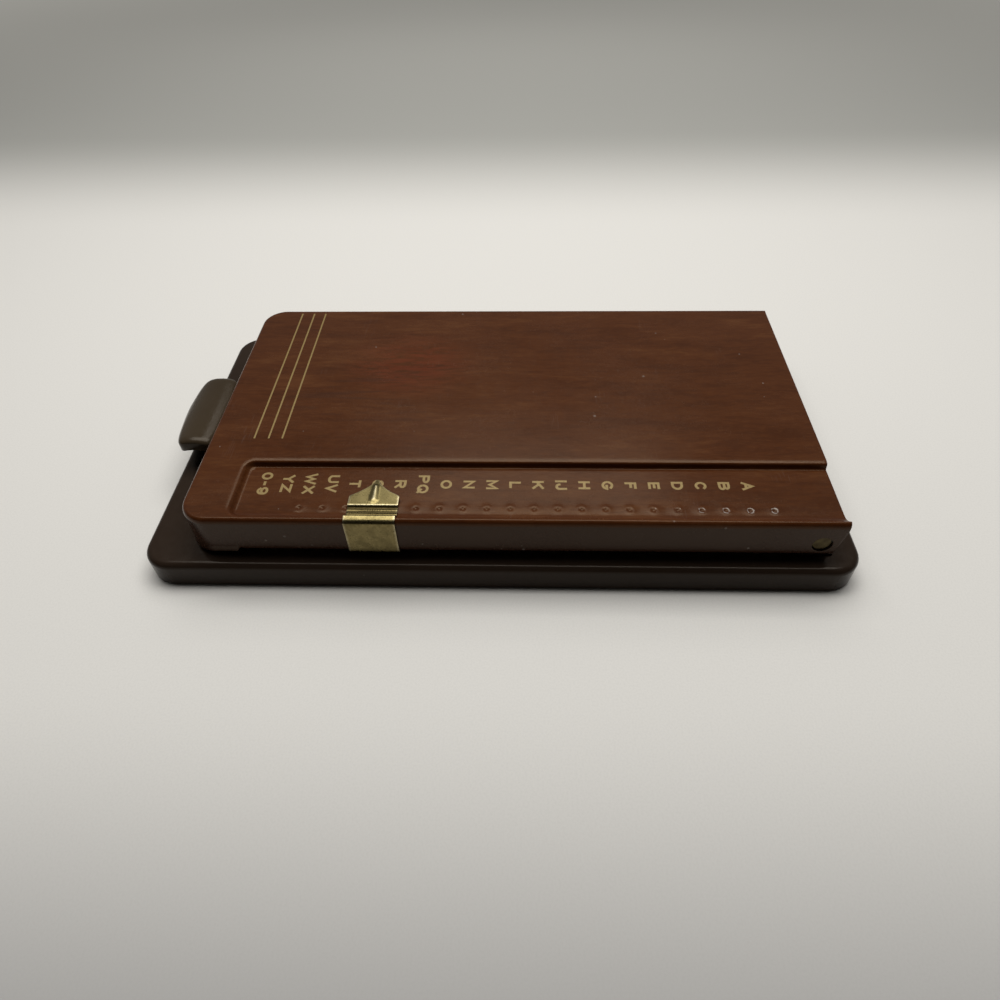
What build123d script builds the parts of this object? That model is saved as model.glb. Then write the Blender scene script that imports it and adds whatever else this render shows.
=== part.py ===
from build123d import *
import math
import os

# A pop-up telephone index: a flat pressed-steel case whose lid springs open at the card that a
# pointer on its right-hand edge has been set to.  Millimetres, +Z up.  X = 0 is the centre line
# and +X the pointer's side.  The front, with the release lever, faces -Y and the hinge is at +Y.
# The origin is on the resting surface, under the middle of the base.

os.makedirs("parts", exist_ok=True)

# ---- driving dimensions -------------------------------------------------------------------
BASE_FRONT = -120.65
BASE_BACK = 122.3
BASE_WIDTH = 133.8
BASE_TOP = 10.5            # height of the base's upper face
BASE_CORNER_R = 10.0       # corners seen from above
BASE_RIM_R = 2.2           # rounded upper rim
BASE_SKIRT_Z = 0.5         # lower edge of the base's wall
BASE_SHEET = 0.9

LID_FRONT = -103.6
LID_BACK = 112.9
LID_HALF = 61.65
LID_TOP = 28.05
LID_SKIRT_Z = 14.0         # lower edge of the lid's sides
LID_FRONT_SKIRT_Z = 12.8   # the sides are this deep at the front corners
LID_DEEP_UNTIL = -86.0     # where the deeper front stretch ends
LID_CORNER_R = 9.5
LID_EDGE_R = 1.5
LID_SHEET = 0.8
LID_LEAN = 2.3             # how far the hinge end leans forward at its lower edge
LID_LEAN_FROM = 24.0       # the height that it starts to lean at

CHANNEL_FROM = 33.5        # index channel sunk in the lid, across X
CHANNEL_TO = 58.9
CHANNEL_FRONT = -86.2      # upper edge of its sloping front wall
CHANNEL_DEPTH = 2.5
CHANNEL_SLOPE = 2.4        # how far the front wall leans
CHANNEL_CORNER_R = 4.0
CHANNEL_EDGE_R = 0.7
CHANNEL_UNDER_R = 1.18     # the same edge on the sheet's underside

PITCH = 7.789              # from one index station to the next
LETTERS = 22
FIRST_STATION = 84.7       # station of the first letter, nearest the hinge
CHOSEN = 16                # the station that the pointer stands at
DIMPLES = 21
FIRST_DIMPLE = 91.1
DIMPLE_X = 53.7
DIMPLE_R = 0.9
DIMPLE_DEPTH = 0.4

PIVOT_Y = 106.4            # hinge axis of the lid and the cards
PIVOT_Z = 18.3
PIVOT_HEAD_R = 3.25
PIVOT_SHANK_R = 1.6
RUNNING = 0.05             # radial clearance of what turns
FIXED = 0.02               # radial clearance of what is riveted or screwed

CARD = 0.28                # thickness of one card
CARD_STEP = 0.36           # from card to card in the stack
STACK_Z = 14.05            # underside of the lowest card
CARD_LEFT = -57.0
CARD_RIGHT = 59.3          # with its lifting margin
CARD_CUT = 55.2            # where the margin is cut away
CARD_FRONT = -85.5
CARD_BACK = 98.0
CARD_TONGUE = 103.0        # the middle of the back edge reaches on to the rings
CARD_TONGUE_HALF = 40.0
CARD_CORNER_R = 3.0
CARD_SMALL_R = 1.2         # corners of the cards with hardly any margin left
CARD_SLOT_HALF = 1.2       # slots that the rings pass through
CARD_SLOT_FRONT, CARD_SLOT_BACK = 98.1, 101.7

RING_X = 22.0
RING_R = 7.2
RING_WIRE_R = 0.8
RING_FALL_R = 3.6          # bend that brings the wire down again behind the pivot
RING_FOOT_TRIM = 6.0       # degrees that the front leg stops short of its full arc

SLIDE_WIDTH = 16.75
SLIDE_SHEET = 0.5
FINGER_WIDTH = 6.6
FINGER_TIP_X = 56.3

LEVER_Y = -94.0            # release lever's pivot
LEVER_Z = 14.0
LEVER_SHEET = 1.0
PAD_HALF = 19.5
PAD_BACK = -105.4
PAD_TIP = (-3.0, -121.9)   # the front edge runs out from both ends to this blunt point
PAD_ENDS = -119.8
PAD_TIP_R = 12.0
PAD_DEPTH = 2.8
PAD_CORNER_R = 3.2
PAD_EDGE_R = 1.5
PAD_CROWN = [(-105.4, 20.4), (-113.0, 23.9), (-122.4, 20.6)]   # back, top and front of its arch
NECK_HALF = 14.8

PLATE = 1.0                # thickness of the brackets riveted to the base
RIVET_R = 1.2
RIVET_HEAD_R = 2.1
RIVET_HEAD = 0.7

PAST = 1.0                 # how far a cut reaches past the face that it goes through
ACROSS = 80.0              # further out than anything, for cuts that run right across
JOIN = 0.1                 # overlap of bodies that are fused

PAN_UNDER = BASE_TOP - BASE_SHEET
FLOOR_Z = LID_TOP - CHANNEL_DEPTH          # floor of the index channel
STATION = FIRST_STATION - CHOSEN * PITCH   # where the pointer stands
PLATE_TOP = BASE_TOP + PLATE


# ---- helpers ------------------------------------------------------------------------------
def block(x0, x1, y0, y1, z0, z1):
    """A box between two corners."""
    return Pos((x0 + x1) / 2, (y0 + y1) / 2, (z0 + z1) / 2) * Box(x1 - x0, y1 - y0, z1 - z0)


def rod(radius, start, end):
    """A cylinder of this radius from one point to another."""
    start, end = Vector(*start), Vector(*end)
    plane = Plane(origin=start, z_dir=end - start)
    return extrude(plane * Circle(radius), (end - start).length)


def across(profile, x0, x1):
    """Extrude a closed list of (y, z) points along X."""
    face = make_face(Polyline(*[(x0, y, z) for y, z in profile], close=True))
    return extrude(face, x1 - x0, dir=(1, 0, 0))


def along(profile, y0, y1):
    """Extrude a closed list of (x, z) points along Y."""
    face = make_face(Polyline(*[(x, y0, z) for x, z in profile], close=True))
    return extrude(face, y1 - y0, dir=(0, 1, 0))


def plan(points, z0, z1):
    """Extrude a closed list of (x, y) points upwards."""
    face = make_face(Polyline(*[(x, y, z0) for x, y in points], close=True))
    return extrude(face, z1 - z0, dir=(0, 0, 1))


def upright_edges(shape, y, tolerance=0.01):
    """The vertical edges of a shape that stand at this y."""
    return shape.edges().filter_by(Axis.Z).filter_by(lambda e: abs(e.center().Y - y) < tolerance)


def top_edges(shape):
    """The edges of a shape's highest face."""
    return shape.faces().sort_by(Axis.Z)[-1].edges()


def group(solids):
    """Several separate solids as one node."""
    return Compound(children=list(solids))


def mirrored(shape):
    """The same piece on the other side of the centre line."""
    return mirror(shape, about=Plane.YZ)


def save(name, shape, *, expect=1):
    """Write one node, and stop if it isn't the number of closed solids that it should be."""
    solids = shape.solids()
    if len(solids) != expect or not all(s.is_valid for s in solids):
        raise ValueError(f"{name}: {len(solids)} solids, {expect} expected, or not valid")
    shape.label = name
    export_step(shape, f"parts/{name}.step")


# ---- places shared by several pieces ------------------------------------------------------
LEVER_RIVET_X, LEVER_RIVET_REACH = 21.0, 3.0
HINGE_RIVET_X, HINGE_RIVET_YS = 45.0, (103.0, 110.0)
LEVER_RIVETS = [(LEVER_RIVET_X, LEVER_Y + dy) for dy in (-LEVER_RIVET_REACH, LEVER_RIVET_REACH)]
HINGE_RIVETS = [(HINGE_RIVET_X, y) for y in HINGE_RIVET_YS]
BRACKET_RIVETS = [(side * x, y) for side in (-1, 1) for x, y in LEVER_RIVETS + HINGE_RIVETS]
RING_RIVETS = [(-12.0, 98.6), (12.0, 98.6)]
COVER_SCREWS = [(x, y) for x in (-52.0, 52.0) for y in (-106.0, 106.0)]


def drilled(shape, places, radius, z0, z1):
    """Cut round upright holes at these (x, y) places."""
    for x, y in places:
        shape = shape - rod(radius, (x, y, z0), (x, y, z1))
    return shape


def riveted(shape, places):
    """Cut rivet holes through a plate that lies on the base."""
    return drilled(shape, places, RIVET_R + FIXED, BASE_TOP - PAST, PLATE_TOP + PAST)


# ---- base ---------------------------------------------------------------------------------
COVER_Z, COVER_SHEET, COVER_GAP = 2.0, 2.0, 0.3
COVER_TOP = COVER_Z + COVER_SHEET
SCREW_R, SCREW_HEAD_R, SCREW_HEAD = 1.25, 2.7, 0.9
SCREW_PLAY = 0.3           # round the shank in the cover
SCREW_STOP = 1.2           # from the screw's end to the pan
SLOT_HALF, SLOT_DEPTH = 0.35, 0.45
FOOT_R, FOOT_EDGE_R = 7.0, 0.4
FOOT_PLAY = 0.4            # round the screw's head
POST_R, POST_STOP = 3.0, 0.8
TAIL_R, TAIL = 1.8, 0.6    # a rivet's head under the pan
RIVET_EDGE_R = 0.5
BED_TOP = STACK_Z - 0.15
BED_SHEET, BED_BEND_R = 0.8, 0.6
BED_LEFT, BED_RIGHT = -56.0, 54.6
BED_FRONT, BED_BACK = -83.0, 94.0


def base_form(inset, z0, z1):
    """The base's rounded oblong, drawn in by inset."""
    width = BASE_WIDTH - 2 * inset
    length = BASE_BACK - BASE_FRONT - 2 * inset
    outline = RectangleRounded(width, length, BASE_CORNER_R - inset)
    return extrude(Pos(0, (BASE_FRONT + BASE_BACK) / 2, z0) * outline, z1 - z0)


def base_pan():
    """Drawn steel pan, open below, with a rounded rim."""
    outside = base_form(0, BASE_SKIRT_Z, BASE_TOP)
    outside = fillet(top_edges(outside), BASE_RIM_R)
    inside = base_form(BASE_SHEET, BASE_SKIRT_Z - PAST, PAN_UNDER)
    inside = fillet(top_edges(inside), BASE_RIM_R - BASE_SHEET)
    holes = BRACKET_RIVETS + RING_RIVETS
    return drilled(outside - inside, holes, RIVET_R + FIXED, 0, BASE_TOP + PAST)


def base_cover():
    """Hardboard panel that closes the pan from below."""
    panel = base_form(BASE_SHEET + COVER_GAP, COVER_Z, COVER_TOP)
    return drilled(panel, COVER_SCREWS, SCREW_R + SCREW_PLAY, 0, COVER_TOP + PAST)


def rubber_feet():
    """Four round feet under the cover, each pierced for its screw."""
    feet = []
    for x, y in COVER_SCREWS:
        foot = rod(FOOT_R, (x, y, 0), (x, y, COVER_Z))
        foot = fillet(foot.faces().sort_by(Axis.Z)[0].edges(), FOOT_EDGE_R)
        feet.append(foot - rod(SCREW_HEAD_R + FOOT_PLAY, (x, y, -PAST), (x, y, COVER_Z + PAST)))
    return group(feet)


def cover_posts():
    """Four threaded posts welded under the pan, for the cover's screws."""
    posts = []
    for x, y in COVER_SCREWS:
        post = rod(POST_R, (x, y, COVER_TOP), (x, y, PAN_UNDER))
        posts.append(post - rod(SCREW_R + FIXED, (x, y, 0), (x, y, PAN_UNDER - POST_STOP)))
    return group(posts)


def cover_screws():
    """Four pan-head screws, slotted."""
    screws = []
    under = COVER_Z - SCREW_HEAD
    for x, y in COVER_SCREWS:
        head = rod(SCREW_HEAD_R, (x, y, under), (x, y, COVER_Z))
        shank = rod(SCREW_R, (x, y, COVER_Z), (x, y, PAN_UNDER - SCREW_STOP))
        slot = block(x - SCREW_HEAD_R, x + SCREW_HEAD_R, y - SLOT_HALF, y + SLOT_HALF,
                     under - PAST, under + SLOT_DEPTH)
        screws.append(head + shank - slot)
    return group(screws)


def base_rivets():
    """Rivets that hold the brackets and the ring plate to the pan."""
    rivets = []
    for x, y in BRACKET_RIVETS + RING_RIVETS:
        head = rod(RIVET_HEAD_R, (x, y, PLATE_TOP), (x, y, PLATE_TOP + RIVET_HEAD))
        head = fillet(top_edges(head), RIVET_EDGE_R)
        shank = rod(RIVET_R, (x, y, PAN_UNDER - TAIL), (x, y, PLATE_TOP + JOIN))
        tail = rod(TAIL_R, (x, y, PAN_UNDER - TAIL), (x, y, PAN_UNDER))
        rivets.append(head + shank + tail)
    return group(rivets)


def card_bed():
    """Raised platform that the cards lie on, with its long edges turned down."""
    plate = block(BED_LEFT, BED_RIGHT, BED_FRONT, BED_BACK, BED_TOP - BED_SHEET, BED_TOP)
    left = block(BED_LEFT, BED_LEFT + BED_SHEET, BED_FRONT, BED_BACK, BASE_TOP, BED_TOP)
    right = block(BED_RIGHT - BED_SHEET, BED_RIGHT, BED_FRONT, BED_BACK, BASE_TOP, BED_TOP)
    bed = plate + left + right
    return fillet(bed.edges().filter_by(Axis.Y).group_by(Axis.Z)[-1], BED_BEND_R)


# ---- hinge --------------------------------------------------------------------------------
EAR = 1.2
EAR_R = 4.6
HINGE_EAR_X = 58.6         # inner face of each ear
HINGE_FOOT_X = 40.0
HINGE_FOOT_FRONT, HINGE_FOOT_BACK = 100.5, 112.3
PIN_END_X = 45.0
PIN_COLLAR, PIN_COLLAR_R = 1.2, 2.5
PIN_RECESS = 0.65          # from the lid's side in to the pin's flat end
PIN_EDGE_R = 0.5


def hinge_bracket_right():
    """Foot plate with one upright ear that carries the lid's pivot pin."""
    ear_face = HINGE_EAR_X + EAR
    foot = block(HINGE_FOOT_X, ear_face, HINGE_FOOT_FRONT, HINGE_FOOT_BACK, BASE_TOP, PLATE_TOP)
    ear = block(HINGE_EAR_X, ear_face, PIVOT_Y - EAR_R, PIVOT_Y + EAR_R, BASE_TOP, PIVOT_Z)
    ear = ear + rod(EAR_R, (HINGE_EAR_X, PIVOT_Y, PIVOT_Z), (ear_face, PIVOT_Y, PIVOT_Z))
    hole = rod(PIVOT_SHANK_R + FIXED, (0, PIVOT_Y, PIVOT_Z), (ACROSS, PIVOT_Y, PIVOT_Z))
    return riveted(foot + ear - hole, HINGE_RIVETS)


def pivot_pin_right():
    """Brass pivot: a round head that the lid turns on, and a shank that holds the spring."""
    ear_face = HINGE_EAR_X + EAR
    head = rod(PIVOT_HEAD_R, (ear_face, PIVOT_Y, PIVOT_Z), (LID_HALF - PIN_RECESS, PIVOT_Y, PIVOT_Z))
    head = fillet(head.faces().sort_by(Axis.X)[-1].edges(), PIN_EDGE_R)
    shank = rod(PIVOT_SHANK_R, (PIN_END_X, PIVOT_Y, PIVOT_Z), (ear_face + JOIN, PIVOT_Y, PIVOT_Z))
    collar = rod(PIN_COLLAR_R, (PIN_END_X, PIVOT_Y, PIVOT_Z),
                 (PIN_END_X + PIN_COLLAR, PIVOT_Y, PIVOT_Z))
    return head + shank + collar


SPRING_R = 3.2
SPRING_WIRE_R = 0.5
SPRING_LEG_R = 0.48
SPRING_TURNS = 7.5
SPRING_PITCH = 1.25
SPRING_FROM_X = 57.2
LID_LEG_REACH = 16.0
BASE_LEG_REACH = 5.2
LEG_CLEAR = 0.03           # between a spring's leg and what it presses on
LEG_UNDER_FLOOR = FLOOR_Z - LID_SHEET - 0.75
LEG_UNDER_TOP = LID_TOP - LID_SHEET - 0.9


def torsion_spring(lid_leg_z):
    """Coil round the right-hand pin, with one leg under the lid and one on the base."""
    length = SPRING_TURNS * SPRING_PITCH
    helix = Helix(SPRING_PITCH, length, SPRING_R)
    wire = sweep(Plane(origin=helix @ 0, z_dir=helix % 0) * Circle(SPRING_WIRE_R), path=helix,
                 is_frenet=True)
    # the coil starts straight above the pin, goes back and down, and ends straight below it
    lay = Plane(origin=(SPRING_FROM_X, PIVOT_Y, PIVOT_Z), x_dir=(0, 0, 1), z_dir=(-1, 0, 0))
    high = (SPRING_FROM_X, PIVOT_Y, PIVOT_Z + SPRING_R)
    low = (SPRING_FROM_X - length, PIVOT_Y, PIVOT_Z - SPRING_R)
    lid_leg = rod(SPRING_LEG_R, high, (SPRING_FROM_X, PIVOT_Y - LID_LEG_REACH, lid_leg_z))
    foot = (low[0], PIVOT_Y - BASE_LEG_REACH, PLATE_TOP + SPRING_WIRE_R + LEG_CLEAR)
    base_leg = rod(SPRING_LEG_R, low, foot)
    spring = lay * wire + lid_leg + base_leg
    return spring + Pos(*high) * Sphere(SPRING_WIRE_R) + Pos(*low) * Sphere(SPRING_WIRE_R)


RING_PLATE_HALF = 30.0
RING_PLATE_FROM, RING_PLATE_TO = 96.5, 112.0


def ring_plate():
    """Strip riveted to the pan that the two card rings stand on."""
    plate = block(-RING_PLATE_HALF, RING_PLATE_HALF, RING_PLATE_FROM, RING_PLATE_TO,
                  BASE_TOP, PLATE_TOP)
    return riveted(plate, RING_RIVETS)


def card_ring(x):
    """Wire ring centred on the pivot, so that the cards slide along it as they turn."""
    foot_angle = math.degrees(math.asin((PIVOT_Z - PLATE_TOP) / RING_R))
    side = Plane(origin=(x, PIVOT_Y, PIVOT_Z), x_dir=(0, 1, 0), z_dir=(1, 0, 0))
    rise = side * CenterArc(center=(0, 0), radius=RING_R, start_angle=90,
                            arc_size=90 + foot_angle - RING_FOOT_TRIM)
    fall = side * CenterArc(center=(0, RING_R - RING_FALL_R), radius=RING_FALL_R,
                            start_angle=0, arc_size=90)
    down = Line((x, PIVOT_Y + RING_FALL_R, PIVOT_Z + RING_R - RING_FALL_R),
                (x, PIVOT_Y + RING_FALL_R, PLATE_TOP))
    bends = [sweep(Plane(origin=path @ 0, z_dir=path % 0) * Circle(RING_WIRE_R), path=path)
             for path in (rise, fall, down)]
    below = block(-ACROSS, ACROSS, RING_PLATE_FROM, RING_PLATE_TO, 0, PLATE_TOP)
    return bends[0] + bends[1] + bends[2] - below


# ---- cards --------------------------------------------------------------------------------
MARGIN_SHORT = 8.0         # a margin shorter than this has the small corners


def card(number):
    """One index card: its lifting margin begins just in front of its own station."""
    z0 = STACK_Z + (LETTERS - 1 - number) * CARD_STEP
    step = FIRST_STATION - number * PITCH - PITCH / 2
    half = CARD_TONGUE_HALF
    outline = [(CARD_LEFT, CARD_FRONT), (CARD_CUT, CARD_FRONT)]
    if step > CARD_FRONT:
        outline = [(CARD_LEFT, CARD_FRONT), (CARD_RIGHT, CARD_FRONT), (CARD_RIGHT, step),
                   (CARD_CUT, step)]
    outline += [(CARD_CUT, CARD_BACK), (half, CARD_BACK), (half, CARD_TONGUE),
                (-half, CARD_TONGUE), (-half, CARD_BACK), (CARD_LEFT, CARD_BACK)]
    sheet = plan(outline, z0, z0 + CARD)
    corner = CARD_CORNER_R if step > CARD_FRONT + MARGIN_SHORT else CARD_SMALL_R
    sheet = fillet(upright_edges(sheet, CARD_FRONT), corner)
    for x in (-RING_X, RING_X):
        sheet = sheet - block(x - CARD_SLOT_HALF, x + CARD_SLOT_HALF, CARD_SLOT_FRONT,
                              CARD_SLOT_BACK, z0 - PAST, z0 + PAST)
    return sheet


# ---- lid ----------------------------------------------------------------------------------
NOTCH_HALF = 21.0          # opening in the front for the lever's neck
NOTCH_TOP = 22.5


def front_rim(face, back):
    """The edges of a face, but for the one at its open hinge end."""
    return face.edges().filter_by(lambda e: e.center().Y < back - PAST / 2)


def lid_form(inset):
    """The lid's outer block with its edges rolled, drawn in by inset."""
    half, front, top = LID_HALF - inset, LID_FRONT + inset, LID_TOP - inset
    past = PAST if inset else 0
    form = block(-half, half, front, LID_BACK + past, LID_FRONT_SKIRT_Z - past, top)
    form = fillet(upright_edges(form, front), LID_CORNER_R - inset)
    rim = front_rim(form.faces().sort_by(Axis.Z)[-1], LID_BACK + past)
    return fillet(rim, LID_EDGE_R - inset)


def channel_form(outset):
    """The index channel as a solid, open at the hinge end, grown by outset."""
    floor, back, above = FLOOR_Z - outset, LID_BACK + 2 * PAST, LID_TOP + 2 * PAST
    front = CHANNEL_FRONT - outset
    side = [(front, LID_TOP), (front + CHANNEL_SLOPE, floor), (back, floor),
            (back, above), (front, above)]
    form = across(side, CHANNEL_FROM - outset, CHANNEL_TO + outset)
    walls = block(CHANNEL_FROM - outset, CHANNEL_TO + outset, front, back,
                  floor - PAST, above + PAST)
    walls = fillet(upright_edges(walls, front), CHANNEL_CORNER_R)
    form = form & walls
    bottom = front_rim(form.faces().sort_by(Axis.Z)[0], back)
    return fillet(bottom, CHANNEL_UNDER_R if outset else CHANNEL_EDGE_R)


def lid_shell():
    """Pressed-steel lid with the index channel, its dimples and the pivot holes."""
    shell = (lid_form(0) - channel_form(0)) - (lid_form(LID_SHEET) - channel_form(LID_SHEET))
    # the long sides are cut back behind the front corners
    far_back = LID_BACK + PAST
    shell = shell - block(-ACROSS, ACROSS, LID_DEEP_UNTIL, far_back, 0, LID_SKIRT_Z)
    lean = [(LID_BACK - LID_LEAN, LID_SKIRT_Z - PAST), (far_back, LID_SKIRT_Z - PAST),
            (far_back, LID_LEAN_FROM), (LID_BACK, LID_LEAN_FROM)]
    shell = shell - across(lean, -ACROSS, ACROSS)
    shell = shell - block(-NOTCH_HALF, NOTCH_HALF, LID_FRONT - PAST, LID_FRONT + LID_SHEET + PAST,
                          0, NOTCH_TOP)
    shell = shell - rod(PIVOT_HEAD_R + RUNNING, (-ACROSS, PIVOT_Y, PIVOT_Z),
                        (ACROSS, PIVOT_Y, PIVOT_Z))
    ball = (DIMPLE_R ** 2 + DIMPLE_DEPTH ** 2) / (2 * DIMPLE_DEPTH)
    for number in range(DIMPLES):
        y = FIRST_DIMPLE - number * PITCH
        shell = shell - Pos(DIMPLE_X, y, FLOOR_Z - DIMPLE_DEPTH + ball) * Sphere(ball)
    return shell


STRIKER_SHEET = 0.8
STRIKER_HALF = 6.0
STRIKER_Y = -89.2
STRIKER_FLAT, STRIKER_FLAT_HALF = 7.0, 9.0
LIP_Z = 20.6
LIP_FRONT = -95.6


def lid_striker():
    """Hanging catch under the lid, with a lip that the latch holds."""
    under, front = LID_TOP - LID_SHEET, STRIKER_Y - STRIKER_SHEET
    flat = block(-STRIKER_FLAT_HALF, STRIKER_FLAT_HALF, front, STRIKER_Y + STRIKER_FLAT,
                 under - STRIKER_SHEET, under)
    leg = block(-STRIKER_HALF, STRIKER_HALF, front, STRIKER_Y, LIP_Z, under)
    lip = block(-STRIKER_HALF, STRIKER_HALF, LIP_FRONT, STRIKER_Y, LIP_Z, LIP_Z + STRIKER_SHEET)
    return flat + leg + lip


# ---- pointer slide ------------------------------------------------------------------------
SLIDE_GAP = 0.15           # between the brass and the lid
PLATE_LIFT = 0.95          # height of the pointer's blade over the channel's floor
CREASES = (54.2, 55.0, 57.3, 58.0)         # where the strip steps down and up again, across X
CREASE_SHIFTS = (0.3, 0.3, -0.3, -0.25)    # the same creases on the strip's outer face
BLADE_FROM = 46.6
SHOULDER_X = 49.4
WAIST_X, WAIST_HALF = 45.2, 2.6
TIP_X, TIP_HALF = 41.7, 0.5
RIM_BEND_R, HOOK_BEND_R = 1.3, 0.45
HOOK_DROP = 0.25           # from the lid's lower edge to the strip under it
RIB_FROM, RIB_TO = 44.4, 52.2
RIB_R, RIB_SUNK = 1.35, 0.45


def outer_edges(clip):
    """The strip's long edges on the lid's outer side, from the lowest up."""
    face = LID_HALF + SLIDE_GAP + SLIDE_SHEET / 2
    edges = clip.edges().filter_by(Axis.Y).filter_by(lambda e: e.center().X > face)
    return edges.sort_by(Axis.Z)


def slide_strip():
    """The bent strip round the lid's edge, at its full width, with both bends rounded."""
    t, half = SLIDE_SHEET, SLIDE_WIDTH / 2
    outer, low, rim = LID_HALF + SLIDE_GAP, FLOOR_Z + SLIDE_GAP, LID_TOP + SLIDE_GAP
    plate, hook = FLOOR_Z + PLATE_LIFT, LID_SKIRT_Z - HOOK_DROP
    inner = list(zip(CREASES, (plate, low, low, rim)))
    upper = [(x + shift, z + t) for (x, z), shift in zip(inner, CREASE_SHIFTS)]
    strip = [(BLADE_FROM, plate)] + inner + [(outer, rim), (outer, hook), (FINGER_TIP_X, hook),
             (FINGER_TIP_X, hook - t), (outer + t, hook - t), (outer + t, rim + t)]
    strip += upper[::-1] + [(BLADE_FROM, plate + t)]
    clip = along(strip, STATION - half, STATION + half)
    clip = fillet(outer_edges(clip)[-1], RIM_BEND_R)
    return fillet(outer_edges(clip)[0], HOOK_BEND_R)


def pointer_slide():
    """Brass clip round the lid's edge, with its pointer above and a lifting finger below."""
    t, half = SLIDE_SHEET, SLIDE_WIDTH / 2
    plate, hook = FLOOR_Z + PLATE_LIFT, LID_SKIRT_Z - HOOK_DROP
    clip = slide_strip()
    # only a narrow finger reaches under the cards
    for side in (-1, 1):
        y0, y1 = sorted((STATION + side * FINGER_WIDTH / 2, STATION + side * (half + PAST)))
        clip = clip - block(FINGER_TIP_X - PAST, LID_HALF - PAST, y0, y1, hook - t - PAST,
                            hook + JOIN / 2)
    blade = block(TIP_X, BLADE_FROM + JOIN, STATION - half, STATION + half, plate, plate + t)
    flanks = [(SHOULDER_X, half), (WAIST_X, WAIST_HALF), (TIP_X, TIP_HALF)]
    cut = [(TIP_X - PAST, STATION - half - PAST), (SHOULDER_X, STATION - half - PAST)]
    cut += [(x, STATION - reach) for x, reach in flanks]
    cut += [(x, STATION + reach) for x, reach in reversed(flanks)]
    cut += [(SHOULDER_X, STATION + half + PAST), (TIP_X - PAST, STATION + half + PAST)]
    clip = (clip + blade) - plan(cut, plate - PAST, plate + t + PAST)
    return clip + pressed_rib(plate)


def pressed_rib(plate):
    """Round-ended rib that stiffens the pointer, above the blade's underside."""
    start, end = (RIB_FROM, STATION, plate - RIB_SUNK), (RIB_TO, STATION, plate - RIB_SUNK)
    rib = rod(RIB_R, start, end) + Pos(*start) * Sphere(RIB_R) + Pos(*end) * Sphere(RIB_R)
    return rib & block(TIP_X, RIB_TO + RIB_R, STATION - RIB_R, STATION + RIB_R, plate, plate + RIB_R)


# ---- release lever ------------------------------------------------------------------------
def pad_form(inset):
    """The crowned finger pad as a solid, drawn in by inset."""
    back, high, front = [Vector(0, y, z - inset) for y, z in PAD_CROWN]
    drop = Vector(0, 0, PAD_DEPTH + (PAST if inset else 0))
    side = make_face([ThreePointArc(back, high, front), Line(front, front - drop),
                      Line(front - drop, back - drop), Line(back - drop, back)])
    body = extrude(Pos(-ACROSS / 2, 0, 0) * side, ACROSS, dir=(1, 0, 0))
    half, rear, ends = PAD_HALF - inset, PAD_BACK - inset, PAD_ENDS + inset
    tip = (PAD_TIP[0], PAD_TIP[1] + inset)
    column = plan([(-half, ends), tip, (half, ends), (half, rear), (-half, rear)], 0, LID_TOP)
    corners = upright_edges(column, ends) + upright_edges(column, rear)
    column = fillet(corners, PAD_CORNER_R - inset)
    return body & fillet(upright_edges(column, tip[1]), PAD_TIP_R)


NECK_Z = 15.2
RISER_TOP = 20.0
BARREL_R = 2.2
LEVER_PIN_R = 1.2
LEVER_EAR_X = 15.3         # inner face of the lever's two ears
LEVER_EAR_R = 3.2
LEVER_FOOT_X, LEVER_FOOT_HALF = 26.0, 6.0
LEVER_PIN_HEAD, LEVER_PIN_HEAD_R = 0.8, 2.0


def release_lever():
    """Pressed lever: crowned pad, riser, neck and the barrel that turns on the pin."""
    cap = pad_form(0)
    crown = max(cap.faces(), key=lambda face: face.center().Z)
    cap = fillet(crown.edges(), PAD_EDGE_R) - pad_form(LEVER_SHEET)
    front = PAD_BACK - LEVER_SHEET
    riser = block(-NECK_HALF, NECK_HALF, front, PAD_BACK, NECK_Z, RISER_TOP)
    neck = block(-NECK_HALF, NECK_HALF, front, LEVER_Y, NECK_Z, NECK_Z + LEVER_SHEET)
    barrel = rod(BARREL_R, (-NECK_HALF, LEVER_Y, LEVER_Z), (NECK_HALF, LEVER_Y, LEVER_Z))
    bore = rod(LEVER_PIN_R + RUNNING, (-ACROSS, LEVER_Y, LEVER_Z), (ACROSS, LEVER_Y, LEVER_Z))
    return cap + riser + neck + barrel - bore


def lever_bracket_right():
    """Foot plate with one upright ear for the lever's pin."""
    x0, x1 = LEVER_EAR_X, LEVER_EAR_X + PLATE
    foot = block(x0, LEVER_FOOT_X, LEVER_Y - LEVER_FOOT_HALF, LEVER_Y + LEVER_FOOT_HALF,
                 BASE_TOP, PLATE_TOP)
    ear = block(x0, x1, LEVER_Y - LEVER_EAR_R, LEVER_Y + LEVER_EAR_R, BASE_TOP, LEVER_Z)
    ear = ear + rod(LEVER_EAR_R, (x0, LEVER_Y, LEVER_Z), (x1, LEVER_Y, LEVER_Z))
    hole = rod(LEVER_PIN_R + FIXED, (0, LEVER_Y, LEVER_Z), (ACROSS, LEVER_Y, LEVER_Z))
    return riveted(foot + ear - hole, LEVER_RIVETS)


def lever_pin():
    """Headed pin through both ears and the lever's barrel."""
    face = LEVER_EAR_X + PLATE
    end = face + LEVER_PIN_HEAD
    pin = rod(LEVER_PIN_R, (-end, LEVER_Y, LEVER_Z), (end, LEVER_Y, LEVER_Z))
    for side in (-1, 1):
        pin = pin + rod(LEVER_PIN_HEAD_R, (side * face, LEVER_Y, LEVER_Z),
                        (side * end, LEVER_Y, LEVER_Z))
    return pin


HOOK_SHEET, HOOK_HALF = 0.5, 5.0
HOOK_FOOT_FRONT = -103.5
HOOK_FACE = -97.0
HOOK_TOP = 22.3
HOOK_OVER = 1.0            # how far the nose reaches over the striker's lip


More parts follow.
